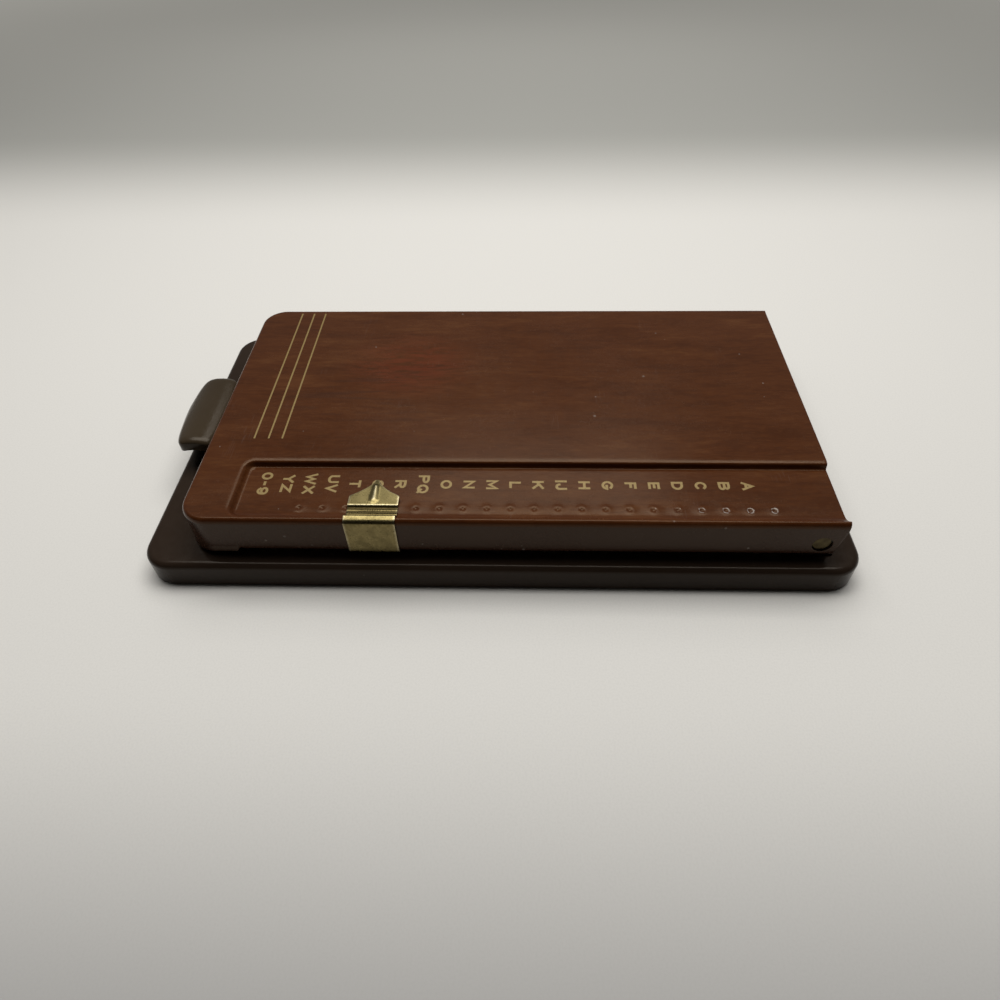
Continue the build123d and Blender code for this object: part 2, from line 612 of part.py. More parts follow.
def latch_hook():
    """Spring-steel hook on the lever's neck that reaches over the striker's lip."""
    low, front = NECK_Z + LEVER_SHEET, HOOK_FACE - HOOK_SHEET
    foot = block(-HOOK_HALF, HOOK_HALF, HOOK_FOOT_FRONT, HOOK_FACE, low, low + HOOK_SHEET)
    upright = block(-HOOK_HALF, HOOK_HALF, front, HOOK_FACE, low, HOOK_TOP)
    nose = block(-HOOK_HALF, HOOK_HALF, front, LIP_FRONT + HOOK_OVER, HOOK_TOP - HOOK_SHEET, HOOK_TOP)
    return foot + upright + nose


RETURN_R, RETURN_WIRE_R = 2.6, 0.35
RETURN_TURNS = 4
RETURN_Y = -100.6
RETURN_CLEAR = 0.1         # between the coil and what it stands between


def release_spring():
    """Small coil that lifts the lever again, standing on the base under its neck."""
    foot = BASE_TOP + RETURN_WIRE_R + RETURN_CLEAR
    height = NECK_Z - RETURN_WIRE_R - RETURN_CLEAR - foot
    helix = Helix(height / RETURN_TURNS, height, RETURN_R)
    wire = sweep(Plane(origin=helix @ 0, z_dir=helix % 0) * Circle(RETURN_WIRE_R), path=helix,
                 is_frenet=True)
    return Pos(0, RETURN_Y, foot) * wire


# ---- write every node ---------------------------------------------------------------------
def save_both(name, shape):
    """Write a right-hand node and its mirror image."""
    save(f"{name}_right", shape)
    save(f"{name}_left", mirrored(shape))


def main():
    """Write the base, the hinge, the cards, the lid with its pointer, and the lever."""
    save("base_pan", base_pan())
    save("base_cover", base_cover())
    save("rubber_feet", rubber_feet(), expect=len(COVER_SCREWS))
    save("cover_posts", cover_posts(), expect=len(COVER_SCREWS))
    save("cover_screws", cover_screws(), expect=len(COVER_SCREWS))
    save("base_rivets", base_rivets(), expect=len(BRACKET_RIVETS + RING_RIVETS))
    save("card_bed", card_bed())
    save_both("hinge_bracket", hinge_bracket_right())
    save_both("pivot_pin", pivot_pin_right())
    save("hinge_spring_right", torsion_spring(LEG_UNDER_FLOOR))
    save("hinge_spring_left", mirrored(torsion_spring(LEG_UNDER_TOP)))
    save("ring_plate", ring_plate())
    save_both("card_ring", card_ring(RING_X))
    for number in range(LETTERS):
        save(f"index_card_{number + 1:02d}", card(number))
    save("lid_shell", lid_shell())
    save("lid_striker", lid_striker())
    save("pointer_slide", pointer_slide())
    save("release_lever", release_lever())
    save_both("lever_bracket", lever_bracket_right())
    save("lever_pin", lever_pin())
    save("latch_hook", latch_hook())
    save("release_spring", release_spring())


if __name__ == "__main__":
    main()
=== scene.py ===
import logging
import math
from dataclasses import dataclass, replace
from enum import Enum
from typing import Callable, Iterable, Sequence, Union

import bpy
import numpy as np
from mathutils import Matrix, Vector


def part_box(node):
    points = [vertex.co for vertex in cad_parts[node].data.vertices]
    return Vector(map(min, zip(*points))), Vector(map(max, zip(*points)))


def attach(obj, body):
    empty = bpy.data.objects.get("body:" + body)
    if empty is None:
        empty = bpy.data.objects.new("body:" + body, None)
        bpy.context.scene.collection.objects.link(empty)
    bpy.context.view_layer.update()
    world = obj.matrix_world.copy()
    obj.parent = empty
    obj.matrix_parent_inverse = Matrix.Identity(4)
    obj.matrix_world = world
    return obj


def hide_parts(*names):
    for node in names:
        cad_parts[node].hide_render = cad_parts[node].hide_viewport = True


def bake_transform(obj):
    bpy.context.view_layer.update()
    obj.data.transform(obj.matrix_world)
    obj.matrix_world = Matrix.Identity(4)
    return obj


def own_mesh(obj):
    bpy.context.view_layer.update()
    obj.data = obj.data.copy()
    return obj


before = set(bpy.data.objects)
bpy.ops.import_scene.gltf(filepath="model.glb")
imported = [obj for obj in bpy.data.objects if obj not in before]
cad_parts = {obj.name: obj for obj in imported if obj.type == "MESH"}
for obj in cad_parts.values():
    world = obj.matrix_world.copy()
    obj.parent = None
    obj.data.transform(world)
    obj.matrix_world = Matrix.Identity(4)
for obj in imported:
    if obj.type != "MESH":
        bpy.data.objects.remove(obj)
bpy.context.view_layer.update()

LOG = logging.getLogger("telephone_index")
MM = 0.001                                      # metres in a millimetre
Socket = bpy.types.NodeSocket
Node = bpy.types.Node
NodeTree = bpy.types.NodeTree
Material = bpy.types.Material
Item = bpy.types.Object
Pair = tuple[np.ndarray, np.ndarray]            # often points and the faces between them
Colour = tuple[float, float, float]
Triple = tuple[float, float, float]             # a place, or a measure along each axis
Value = Union[float, Sequence[float], Socket]   # what a shader's socket can be given


# ---- named choices ----
class Slot(Enum):
    """The record's material slots."""

    WALNUT = "walnut_print"
    ENAMEL = "brown_enamel"
    BRASS = "brass"
    PLATED = "plated_steel"
    SPRING = "spring_steel"
    CARD = "index_card"
    BOARD = "hardboard"
    RUBBER = "rubber"


class Body(Enum):
    """The bodies that pieces ride on."""

    BASE = "base"
    LID = "lid"
    CARDS = "raised_cards"
    POINTER = "pointer"
    LEVER = "lever"


class Side(Enum):
    """The two sides of the part, as its nodes' names end."""

    RIGHT = "right"
    LEFT = "left"

    @property
    def sign(self) -> float:
        """Which way the side lies along X."""
        return 1.0 if self is Side.RIGHT else -1.0


class Op(Enum):
    """What a Math node does with its values."""

    ADD = "ADD"
    SUBTRACT = "SUBTRACT"
    MULTIPLY = "MULTIPLY"
    DIVIDE = "DIVIDE"
    ABSOLUTE = "ABSOLUTE"
    FRACTION = "FRACT"
    MAXIMUM = "MAXIMUM"
    LESS = "LESS_THAN"
    GREATER = "GREATER_THAN"


# ---- shader writing ----
class Net:
    """Writes shader nodes into one node tree."""

    MIX_INPUTS = (0, 6, 7)          # a colour mix's factor and its two colours
    MIX_OUTPUT = 2

    def __init__(self, tree: NodeTree) -> None:
        """Start writing into tree."""
        self.tree = tree

    def add(self, kind: str, **settings: object) -> Node:
        """Make one node.

        Args:
            kind: the node's type without its ShaderNode prefix.
            settings: attributes set on the node.

        Returns:
            The new node.
        """
        node = self.tree.nodes.new("ShaderNode" + kind)
        for key, value in settings.items():
            setattr(node, key, value)
        return node

    def feed(self, socket: Socket, value: Value) -> None:
        """Link value into socket if it is a socket, or set it there.

        Args:
            socket: the socket to feed.
            value: a number, a colour, a point or another node's socket.
        """
        if isinstance(value, Socket):
            self.tree.links.new(value, socket)
        else:
            socket.default_value = value

    def math(self, operation: Op, *values: Value, clamp: bool = False) -> Socket:
        """Arithmetic on values.

        Args:
            operation: what to work out.
            values: numbers or sockets, in the node's order.
            clamp: keep the result between 0 and 1.

        Returns:
            The result's socket.
        """
        node = self.add("Math", operation=operation.value, use_clamp=clamp)
        for socket, value in zip(node.inputs, values):
            self.feed(socket, value)
        return node.outputs[0]

    def times(self, first: Value, second: Value, clamp: bool = False) -> Socket:
        """The product of two values, kept between 0 and 1 where clamp says so."""
        return self.math(Op.MULTIPLY, first, second, clamp=clamp)

    def plus(self, first: Value, second: Value, clamp: bool = False) -> Socket:
        """The sum of two values, kept between 0 and 1 where clamp says so."""
        return self.math(Op.ADD, first, second, clamp=clamp)

    def span(self, value: Value, low: Value, high: Value, start: float = 0.0,
             end: float = 1.0) -> Socket:
        """Carry value smoothly from the range low..high into start..end.

        Args:
            value: the number or socket to carry.
            low, high: where the range starts and ends; low may be the larger.
            start, end: what they become.

        Returns:
            The result's socket.
        """
        node = self.add("MapRange", interpolation_type="SMOOTHSTEP")
        for name, item in zip(("Value", "From Min", "From Max", "To Min", "To Max"),
                              (value, low, high, start, end)):
            self.feed(node.inputs[name], item)
        return node.outputs[0]

    def mix(self, factor: Value, first: Value, second: Value) -> Socket:
        """Mix two colours.

        Args:
            factor: share of the second.
            first, second: colours or sockets.

        Returns:
            The mixed colour's socket.
        """
        node = self.add("Mix", data_type="RGBA")
        for number, value in zip(self.MIX_INPUTS, (factor, first, second)):
            self.feed(node.inputs[number], shade(value) if isinstance(value, tuple) else value)
        return node.outputs[self.MIX_OUTPUT]

    def mark(self, name: str) -> Socket:
        """The value that the mesh carries under that name."""
        return self.add("Attribute", attribute_name=name).outputs["Fac"]

    def mapped(self, vector: Socket, scale: Triple, centre: Triple = (0.0, 0.0, 0.0),
               turn: float = 0.0) -> Socket:
        """Carry a point into a pattern's own measure.

        Args:
            vector: the point.
            scale: repeats per metre along each axis.
            centre: what becomes the origin, in metres.
            turn: turn about the upright axis, in degrees.

        Returns:
            The carried point's socket.
        """
        moved = self.add("VectorMath", operation="SUBTRACT")
        self.feed(moved.inputs[0], vector)
        moved.inputs[1].default_value = centre
        node = self.add("Mapping")
        self.feed(node.inputs["Vector"], moved.outputs[0])
        node.inputs["Rotation"].default_value = (0.0, 0.0, math.radians(turn))
        node.inputs["Scale"].default_value = scale
        return node.outputs[0]

    def noise(self, vector: Socket, detail: float, roughness: float = 0.5,
              distortion: float = 0.0) -> Socket:
        """Cloudy noise between 0 and 1.

        Args:
            vector: the point, in the noise's own measure.
            detail: octaves.
            roughness: share of each finer octave.
            distortion: how far it is stirred.

        Returns:
            The noise's socket.
        """
        node = self.add("TexNoise")
        self.feed(node.inputs["Vector"], vector)
        for name, value in (("Scale", 1.0), ("Detail", detail), ("Roughness", roughness),
                            ("Distortion", distortion)):
            node.inputs[name].default_value = value
        return node.outputs[0]

    def cloud(self, point: Socket, fineness: float, detail: float,
              roughness: float = 0.5) -> Socket:
        """Cloudy noise that is alike along every axis.

        Args:
            point: the point, in metres.
            fineness: repeats per metre.
            detail: octaves.
            roughness: share of each finer octave.

        Returns:
            The noise's socket.
        """
        return self.noise(self.mapped(point, (fineness,) * 3), detail, roughness)

    def bump(self, height: Socket, relief: float) -> Socket:
        """Normal of a surface with a relief on it.

        Args:
            height: the relief, mostly between 0 and 1.
            relief: what a height of 1 stands for, in metres.

        Returns:
            The normal's socket.
        """
        node = self.add("Bump")
        node.inputs["Distance"].default_value = relief
        self.feed(node.inputs["Height"], height)
        return node.outputs[0]

    def split(self, vector: Socket) -> tuple[Socket, Socket, Socket]:
        """Part a point.

        Args:
            vector: the point.

        Returns:
            Sockets of its x, y and z.
        """
        node = self.add("SeparateXYZ")
        self.feed(node.inputs[0], vector)
        return node.outputs[0], node.outputs[1], node.outputs[2]

    def length(self, vector: Socket) -> Socket:
        """How far a point lies from the origin.

        Args:
            vector: the point.

        Returns:
            The distance's socket.
        """
        node = self.add("VectorMath", operation="LENGTH")
        self.feed(node.inputs[0], vector)
        return node.outputs["Value"]


def shade(colour: Colour) -> tuple[float, float, float, float]:
    """A colour with full cover."""
    return (*colour, 1.0)


def new_group(name: str, inputs: dict[str, float | None], outputs: Sequence[str],
              fill: Callable[[Net, Node], Sequence[Socket]]) -> NodeTree:
    """Make a shader node group.

    Args:
        name: the group's name.
        inputs: named inputs with their plain value, or None for a point.
        outputs: names of the values it puts out.
        fill: writes the group's nodes and gives the sockets of its outputs.

    Returns:
        The group.
    """
    tree = bpy.data.node_groups.new(name, "ShaderNodeTree")
    for label, value in inputs.items():
        kind = "NodeSocketVector" if value is None else "NodeSocketFloat"
        socket = tree.interface.new_socket(label, in_out="INPUT", socket_type=kind)
        if value is not None:
            socket.default_value = value
    for label in outputs:
        tree.interface.new_socket(label, in_out="OUTPUT", socket_type="NodeSocketFloat")
    entry = tree.nodes.new("NodeGroupInput")
    leave = tree.nodes.new("NodeGroupOutput")
    for socket, value in zip(leave.inputs, fill(Net(tree), entry)):
        tree.links.new(value, socket)
    return tree


def fill_peel(net: Net, entry: Node) -> Sequence[Socket]:
    """Sprayed paint's skin: fine ripples a millimetre apart over slower swells.

    Args:
        net: writer of the group's nodes.
        entry: its inputs Point, Ripple and Swell.

    Returns:
        The height.
    """
    fine = net.cloud(entry.outputs["Point"], fineness=900.0, detail=2.0)
    slow = net.cloud(entry.outputs["Point"], fineness=95.0, detail=2.0)
    return [net.plus(net.times(fine, entry.outputs["Ripple"]),
                     net.times(slow, entry.outputs["Swell"]))]


def fill_specks(net: Net, entry: Node) -> Sequence[Socket]:
    """Scattered specks: the middles of cells that a slower noise lets through.

    Args:
        net: writer of the group's nodes.
        entry: its inputs Point, Size and Sparse.

    Returns:
        The mask.
    """
    per_metre = 210.0
    cells = net.add("TexVoronoi")
    net.feed(cells.inputs["Vector"], net.mapped(entry.outputs["Point"], (per_metre,) * 3))
    cells.inputs["Scale"].default_value = 1.0
    size = net.times(entry.outputs["Size"], net.split(cells.outputs["Color"])[0])
    dot = net.math(Op.LESS, cells.outputs["Distance"], size)
    patch = net.cloud(entry.outputs["Point"], fineness=38.0, detail=1.0)
    return [net.times(dot, net.math(Op.GREATER, patch, entry.outputs["Sparse"]))]


def fill_scuffs(net: Net, entry: Node) -> Sequence[Socket]:
    """Hairline scratches: thin bands of two stretched noises laid across each other.

    Args:
        net: writer of the group's nodes.
        entry: its inputs Point and Sparse.

    Returns:
        The mask.
    """
    lines = []
    for turn, stretch in ((17.0, (120.0, 2400.0, 900.0)), (-52.0, (90.0, 2900.0, 900.0))):
        field = net.noise(net.mapped(entry.outputs["Point"], stretch, turn=turn), detail=1.0)
        lines.append(net.span(field, 0.655, 0.70))
    patch = net.cloud(entry.outputs["Point"], fineness=60.0, detail=2.0)
    return [net.times(net.math(Op.MAXIMUM, *lines),
                      net.span(patch, entry.outputs["Sparse"], 0.75))]


def fill_mottle(net: Net, entry: Node) -> Sequence[Socket]:
    """Slow stains and finer cloud.

    Args:
        net: writer of the group's nodes.
        entry: its input Point.

    Returns:
        The stains and the cloud, both between 0 and 1.
    """
    slow = net.noise(net.mapped(entry.outputs["Point"], (42.0, 30.0, 42.0)), detail=3.0)
    fine = net.cloud(entry.outputs["Point"], fineness=520.0, detail=4.0, roughness=0.62)
    return [net.span(slow, 0.3, 0.7), net.span(fine, 0.3, 0.7)]


@dataclass(frozen=True)
class Effects:
    """The node groups that several finishes share."""

    peel: NodeTree
    specks: NodeTree
    scuffs: NodeTree
    mottle: NodeTree

    @classmethod
    def make(cls) -> "Effects":
        """Build each group once.

        Returns:
            The groups.
        """
        return cls(
            peel=new_group("paint_peel", {"Point": None, "Ripple": 0.3, "Swell": 1.0}, ["Height"],
                           fill_peel),
            specks=new_group("specks", {"Point": None, "Size": 0.1, "Sparse": 0.6}, ["Mask"],
                             fill_specks),
            scuffs=new_group("scuffs", {"Point": None, "Sparse": 0.5}, ["Mask"], fill_scuffs),
            mottle=new_group("mottle", {"Point": None}, ["Slow", "Fine"], fill_mottle),
        )


class Coat(Net):
    """Writes one material's nodes: its shader, its point on the object and the shared groups."""

    def __init__(self, material: Material, effects: Effects) -> None:
        """Start on the material's own shader.

        Args:
            material: the material, with its nodes in use.
            effects: the shared node groups.
        """
        super().__init__(material.node_tree)
        self.shader = material.node_tree.nodes["Principled BSDF"]
        self.effects = effects
        self.point = self.add("TexCoord").outputs["Object"]

    def spread(self, group: NodeTree, **inputs: Value) -> list[Socket]:
        """Place a shared group at the point.

        Args:
            group: the node group.
            inputs: values of its other inputs.

        Returns:
            Sockets of what it puts out.
        """
        node = self.add("Group", node_tree=group)
        for name, value in {"Point": self.point, **inputs}.items():
            self.feed(node.inputs[name], value)
        return list(node.outputs)

    def lay(self, inputs: dict[str, Value]) -> None:
        """Feed the shader's inputs by name."""
        for name, value in inputs.items():
            self.feed(self.shader.inputs[name], value)


# ---- finishes ----
@dataclass(frozen=True)
class Finish:
    """A finish: a named material whose nodes a subclass writes."""

    name: str

    def write(self, net: Coat) -> None:
        """Write the nodes that feed the shader.

        Args:
            net: writer of the material's nodes.
        """
        raise NotImplementedError

    def make(self, effects: Effects) -> Material:
        """Build the material.

        Args:
            effects: the shared node groups.

        Returns:
            The material.
        """
        material = bpy.data.materials.new(self.name)
        material.use_nodes = True
        self.write(Coat(material, effects))
        return material


@dataclass(frozen=True)
class Patch:
    """An oval patch of a pattern, in metres."""

    middle: Triple
    reach: Triple                       # half its size along each axis
    soft: float = 0.15                  # share of the reach that is fully inside
    turn: float = 0.0                   # about the upright axis, in degrees

    def mask(self, net: Coat) -> Socket:
        """How far inside the patch the material's point lies.

        Args:
            net: writer of the material's nodes.

        Returns:
            1 in the middle, fading to 0 at the patch's edge.
        """
        scale = tuple(1.0 / part for part in self.reach)
        scaled = net.mapped(net.point, scale, self.middle, self.turn)
        return net.span(net.length(scaled), 1.0, self.soft)


@dataclass(frozen=True)
class WalnutPrint(Finish):
    """Walnut grain printed on sheet steel under a glossy lacquer, worn at the raised dimples."""

    dark: Colour = (0.045, 0.0122, 0.0033)
    mid: Colour = (0.060, 0.0171, 0.0046)
    pale: Colour = (0.080, 0.0268, 0.0080)
    red: Colour = (0.105, 0.0185, 0.0065)
    cool: Colour = (0.034, 0.0125, 0.0070)
    plain: Colour = (0.0340, 0.0146, 0.0088)
    # bare metal, also the colour of the painted highlight along the bead
    bare: Colour = (0.46, 0.42, 0.38)
    sheen: Colour = (1.0, 0.76, 0.50)
    bends: Triple = (26.0, 13.0, 26.0)          # repeats per metre of what bends the grain,
    figure: Triple = (80.0, 15.0, 80.0)         # of its slow figure,
    streaks: Triple = (620.0, 95.0, 620.0)      # of its streaks,
    fibres: Triple = (2300.0, 330.0, 2300.0)    # of its pores and flecks,
    swirls: Triple = (320.0, 26.0, 320.0)       # and of the skewed grain in the swirled spot
    skew: float = -13.0                         # turn of that grain, in degrees
    bend: float = 0.010                         # how far the grain is bent, in metres
    stained: Patch = Patch((-0.022, -0.036, 0.028), (0.026, 0.032, 0.03))
    swirled: Patch = Patch((0.0, -0.052, 0.028), (0.030, 0.040, 0.03), 0.3)
    scratched: Patch = Patch((0.05945, 0.0182, 0.0279), (0.00016, 0.0036, 0.004), turn=1.0)
    roughness: float = 0.19
    shine: float = 0.19
    relief: float = 0.00005                     # of the lacquer's skin, in metres

    def grain(self, net: Coat) -> tuple[Socket, Socket]:
        """The printed grain: slow figure, streaks and pores, then the stained and swirled spots.

        Args:
            net: writer of the material's nodes.

        Returns:
            The colour, and a mask of the pores.
        """
        bent = net.add("VectorMath", operation="MULTIPLY_ADD")
        net.feed(bent.inputs[0], net.noise(net.mapped(net.point, self.bends), detail=2.0))
        bent.inputs[1].default_value = (self.bend, 0.0, 0.0)
        net.feed(bent.inputs[2], net.point)
        place = bent.outputs[0]
        figure = net.noise(net.mapped(place, self.figure), detail=3.0, distortion=0.8)
        streak = net.noise(net.mapped(place, self.streaks), detail=5.0, roughness=0.66,
                           distortion=0.6)
        fibre = net.noise(net.mapped(place, self.fibres), detail=2.0)
        skewed = net.noise(net.mapped(net.point, self.swirls, turn=self.skew), detail=3.0)
        tone = net.plus(net.times(figure, 0.5), net.times(streak, 0.5))
        pores, flecks = net.span(fibre, 0.56, 0.72), net.span(fibre, 0.44, 0.30)
        stain = net.times(self.stained.mask(net), net.span(streak, 0.36, 0.58))
        swirl = net.times(self.swirled.mask(net), net.span(skewed, 0.52, 0.62))
        colour = net.mix(net.span(tone, 0.37, 0.53), self.dark, self.mid)
        colour = net.mix(net.span(tone, 0.51, 0.66), colour, self.pale)
        for mask, share, print_colour in ((pores, 0.50, self.dark), (flecks, 0.40, self.pale),
                                          (stain, 0.55, self.red), (swirl, 0.42, self.cool)):
            colour = net.mix(net.times(mask, share), colour, print_colour)
        return net.mix(net.mark("skirt"), colour, self.plain), pores

    def wear_and_highlight(self, net: Coat) -> Socket:
        """Bare metal: specks, hairlines, rubbed rings, one long scratch, and painted highlight on
        the bead's crest.

        Args:
            net: writer of the material's nodes.

        Returns:
            Its mask.
        """
        specks = net.spread(net.effects.specks, Size=0.10, Sparse=0.56)[0]
        scuffs = net.spread(net.effects.scuffs, Sparse=0.55)[0]
        marks = net.plus(net.times(specks, 0.22), net.times(scuffs, 0.04), clamp=True)
        crumble = net.cloud(net.point, fineness=1500.0, detail=3.0, roughness=0.7)
        # rubbed rings round the dimples, and a painted highlight along the bead's crest
        brightened = net.times(net.span(net.plus(net.mark("wear_and_highlight"), crumble), 1.06, 1.22), 0.60)
        scratch = net.times(self.scratched.mask(net), net.span(crumble, 0.30, 0.55))
        return net.math(Op.MAXIMUM, net.math(Op.MAXIMUM, marks, brightened), scratch)

    def write(self, net: Coat) -> None:
        """Print the grain, wear it through to the metal in places and lacquer the rest.

        Args:
            net: writer of the material's nodes.
        """
        colour, pores = self.grain(net)
        slow, fine = net.spread(net.effects.mottle)
        rough = net.plus(net.times(slow, 0.07), net.times(fine, 0.05))
        peel = net.spread(net.effects.peel, Ripple=0.30, Swell=1.2)[0]
        height = net.math(Op.SUBTRACT, peel, net.times(pores, 0.12))
        net.lay({"Base Color": net.mix(self.wear_and_highlight(net), colour, self.bare),
                 "Roughness": net.plus(rough, self.roughness),
                 "Specular IOR Level": self.shine,
                 "Specular Tint": shade(self.sheen),
                 "Normal": net.bump(height, self.relief)})


@dataclass(frozen=True)
class Enamel(Finish):
    """Baked enamel on pressed steel: a rippled skin, a little dust, rubbed edges with a painted
    highlight.
    """

    colour: Colour = (0.0205, 0.0128, 0.0085)
    # colour of dust, and of the lightened edges
    dust: Colour = (0.085, 0.068, 0.050)
    roughness: float = 0.145
    shine: float = 0.12
    sheen: Colour = (1.0, 0.88, 0.74)
    paler: float = 1.9                  # brightness of its stains against its colour
    edge_r: float = 0.0007              # reach of the rubbed edges and their painted highlight, in metres
    relief: float = 0.00006             # of the skin, in metres

    def write(self, net: Coat) -> None:
        """Mottle the colour slightly, scatter dust and scuffs and ripple the skin.

        Args:
            net: writer of the material's nodes.
        """
        slow, fine = net.spread(net.effects.mottle)
        colour = net.mix(net.times(slow, 0.20), self.colour,
                         tuple(part * self.paler for part in self.colour))
        # edges lightened: rubbed paint, and a painted highlight
        edge = net.add("Bevel", samples=4)
        edge.inputs["Radius"].default_value = self.edge_r
        level = net.add("VectorMath", operation="DOT_PRODUCT")
        net.feed(level.inputs[0], edge.outputs[0])
        net.feed(level.inputs[1], net.add("NewGeometry").outputs["Normal"])
        edge_rub_and_highlight = net.times(net.span(level.outputs["Value"], 0.985, 0.90), fine)
        specks = net.spread(net.effects.specks, Size=0.10, Sparse=0.58)[0]
        scuffs = net.spread(net.effects.scuffs, Sparse=0.50)[0]
        marks = net.plus(net.times(specks, 0.30), net.times(scuffs, 0.14), clamp=True)
        dust_and_edge_highlight = net.math(Op.MAXIMUM, marks, net.times(edge_rub_and_highlight, 0.35))
        peel = net.spread(net.effects.peel, Ripple=0.40, Swell=1.0)[0]
        net.lay({"Base Color": net.mix(dust_and_edge_highlight, colour, self.dust),
                 "Roughness": net.plus(net.times(fine, 0.10), self.roughness),
                 "Specular IOR Level": self.shine,
                 "Specular Tint": shade(self.sheen),
                 "Normal": net.bump(peel, self.relief)})


@dataclass(frozen=True)
class Brass(Finish):
    """Handled sheet brass: clouded with tarnish, tarnish and painted shade in its creases, painted
    highlights.
    """

    bright: Colour = (0.190, 0.150, 0.063)
    dull: Colour = (0.140, 0.110, 0.045)
    # tarnish; in the creases it also stands for painted shade
    tarnish: Colour = (0.045, 0.031, 0.011)
    # colour of the painted highlights
    polish: Colour = (0.66, 0.58, 0.38)
    roughness: float = 0.25
    rolled: Triple = (5200.0, 240.0, 900.0)     # repeats per metre of the rolling marks
    relief: float = 0.000014                    # of marks and pits, in metres

    def write(self, net: Coat) -> None:
        """Cloud the metal from bright to dull, pit it with tarnish and draw its rolling marks.

        Args:
            net: writer of the material's nodes.
        """
        _, fine = net.spread(net.effects.mottle)
        cloud = net.cloud(net.point, fineness=260.0, detail=5.0, roughness=0.65)
        pits = net.cloud(net.point, fineness=1900.0, detail=2.0)
        pit = net.span(pits, 0.60, 0.72)
        # painted highlights where the slide's mesh marks them, fewer in the pits
        highlit = net.times(net.mark("brightened"), net.span(pits, 0.70, 0.40, 0.5, 1.0))
        colour = net.mix(net.span(cloud, 0.40, 0.66), self.bright, self.dull)
        colour = net.mix(net.times(pit, 0.35), colour, self.tarnish)
        # creases and the hollow darkened: tarnish, and painted shade
        colour = net.mix(net.times(net.mark("crease_tarnish_and_shade"), 0.85, clamp=True), colour, self.tarnish)
        rough = net.plus(net.times(fine, 0.12), net.times(pit, 0.22))
        drawn = net.noise(net.mapped(net.point, self.rolled), detail=2.0)
        height = net.math(Op.SUBTRACT, net.times(drawn, 0.35), net.times(pit, 0.4))
        net.lay({"Base Color": net.mix(highlit, colour, self.polish),
                 "Metallic": 1.0,
                 "Roughness": net.plus(rough, self.roughness),
                 "Normal": net.bump(height, self.relief)})


@dataclass(frozen=True)
class Plated(Finish):
    """Plated or blued steel with fine drawing marks and a few grey stains."""

    bright: Colour = (0.50, 0.49, 0.46)
    dull: Colour = (0.28, 0.27, 0.25)
    roughness: float = 0.28
    rust: Colour = (0.09, 0.06, 0.04)
    drawing: Triple = (700.0, 5200.0, 700.0)    # repeats per metre of the drawing marks
    relief: float = 0.00001                     # of those marks, in metres

    def write(self, net: Coat) -> None:
        """Stain the metal and give it drawing marks and hairline scratches.

        Args:
            net: writer of the material's nodes.
        """
        slow, fine = net.spread(net.effects.mottle)
        colour = net.mix(net.times(fine, 0.7), self.bright, self.dull)
        specks = net.spread(net.effects.specks, Size=0.25, Sparse=0.50)[0]
        scuffs = net.spread(net.effects.scuffs, Sparse=0.40)[0]
        rough = net.plus(net.times(slow, 0.10), net.times(scuffs, 0.15))
        drawn = net.noise(net.mapped(net.point, self.drawing), detail=2.0)
        net.lay({"Base Color": net.mix(net.times(specks, 0.5), colour, self.rust),
                 "Metallic": 1.0,
                 "Roughness": net.plus(rough, self.roughness),
                 "Normal": net.bump(drawn, self.relief)})


@dataclass(frozen=True)
class CardStock(Finish):
    """Cream index card with ruled lines, a red margin, handled edges and paper tooth.

    Its measures are in metres.
    """

    paper: Colour = (0.80, 0.74, 0.60)
    aged: Colour = (0.62, 0.50, 0.34)
    rule: Colour = (0.30, 0.42, 0.48)
    margin: Colour = (0.58, 0.17, 0.14)
    line_pitch: float = 0.00635
    line_width: float = 0.00022
    lines_end: float = 0.075
    margin_x: float = 0.016
    margin_gap: float = 0.0012          # between its two lines
    worn_side: tuple[float, float] = (0.047, 0.0575)    # where handling begins and is most
    worn_front: tuple[float, float] = (-0.074, -0.086)
    roughness: float = 0.72
    shine: float = 0.30
    relief: float = 0.00002             # of the paper's tooth

    def write(self, net: Coat) -> None:
        """Rule lines every quarter inch along Y and two margin lines along X, and age the edges.

        Args:
            net: writer of the material's nodes.
        """
        across, along, _ = net.split(net.point)
        slow, fine = net.spread(net.effects.mottle)
        side = net.span(net.math(Op.ABSOLUTE, across), *self.worn_side)
        front = net.span(along, *self.worn_front)
        handled = net.times(net.math(Op.MAXIMUM, side, front), net.plus(slow, 0.25))
        colour = net.mix(net.times(slow, 0.18), self.paper, self.aged)
        colour = net.mix(net.times(handled, 0.45), colour, self.aged)
        step = net.math(Op.FRACTION, net.math(Op.DIVIDE, along, self.line_pitch))
        off = net.math(Op.ABSOLUTE, net.math(Op.SUBTRACT, step, 0.5))
        half = self.line_width / 2 / self.line_pitch
        ruled = net.times(net.span(off, half * 1.3, half * 0.7),
                          net.span(along, self.lines_end + 0.0001, self.lines_end - 0.0001))
        fibre = net.cloud(net.point, fineness=2600.0, detail=2.0)
        colour = net.mix(net.times(ruled, net.span(fibre, 0.2, 0.5, 0.35, 0.8)), colour, self.rule)
        for place in (self.margin_x, self.margin_x + self.margin_gap):
            gap = net.math(Op.ABSOLUTE, net.math(Op.SUBTRACT, across, place))
            line = net.span(gap, 0.00016, 0.00008)
            colour = net.mix(net.times(line, 0.7), colour, self.margin)
        tooth = net.plus(net.times(fibre, 0.6), fine)
        net.lay({"Base Color": colour,
                 "Roughness": self.roughness,
                 "Specular IOR Level": self.shine,
                 "Normal": net.bump(tooth, self.relief)})


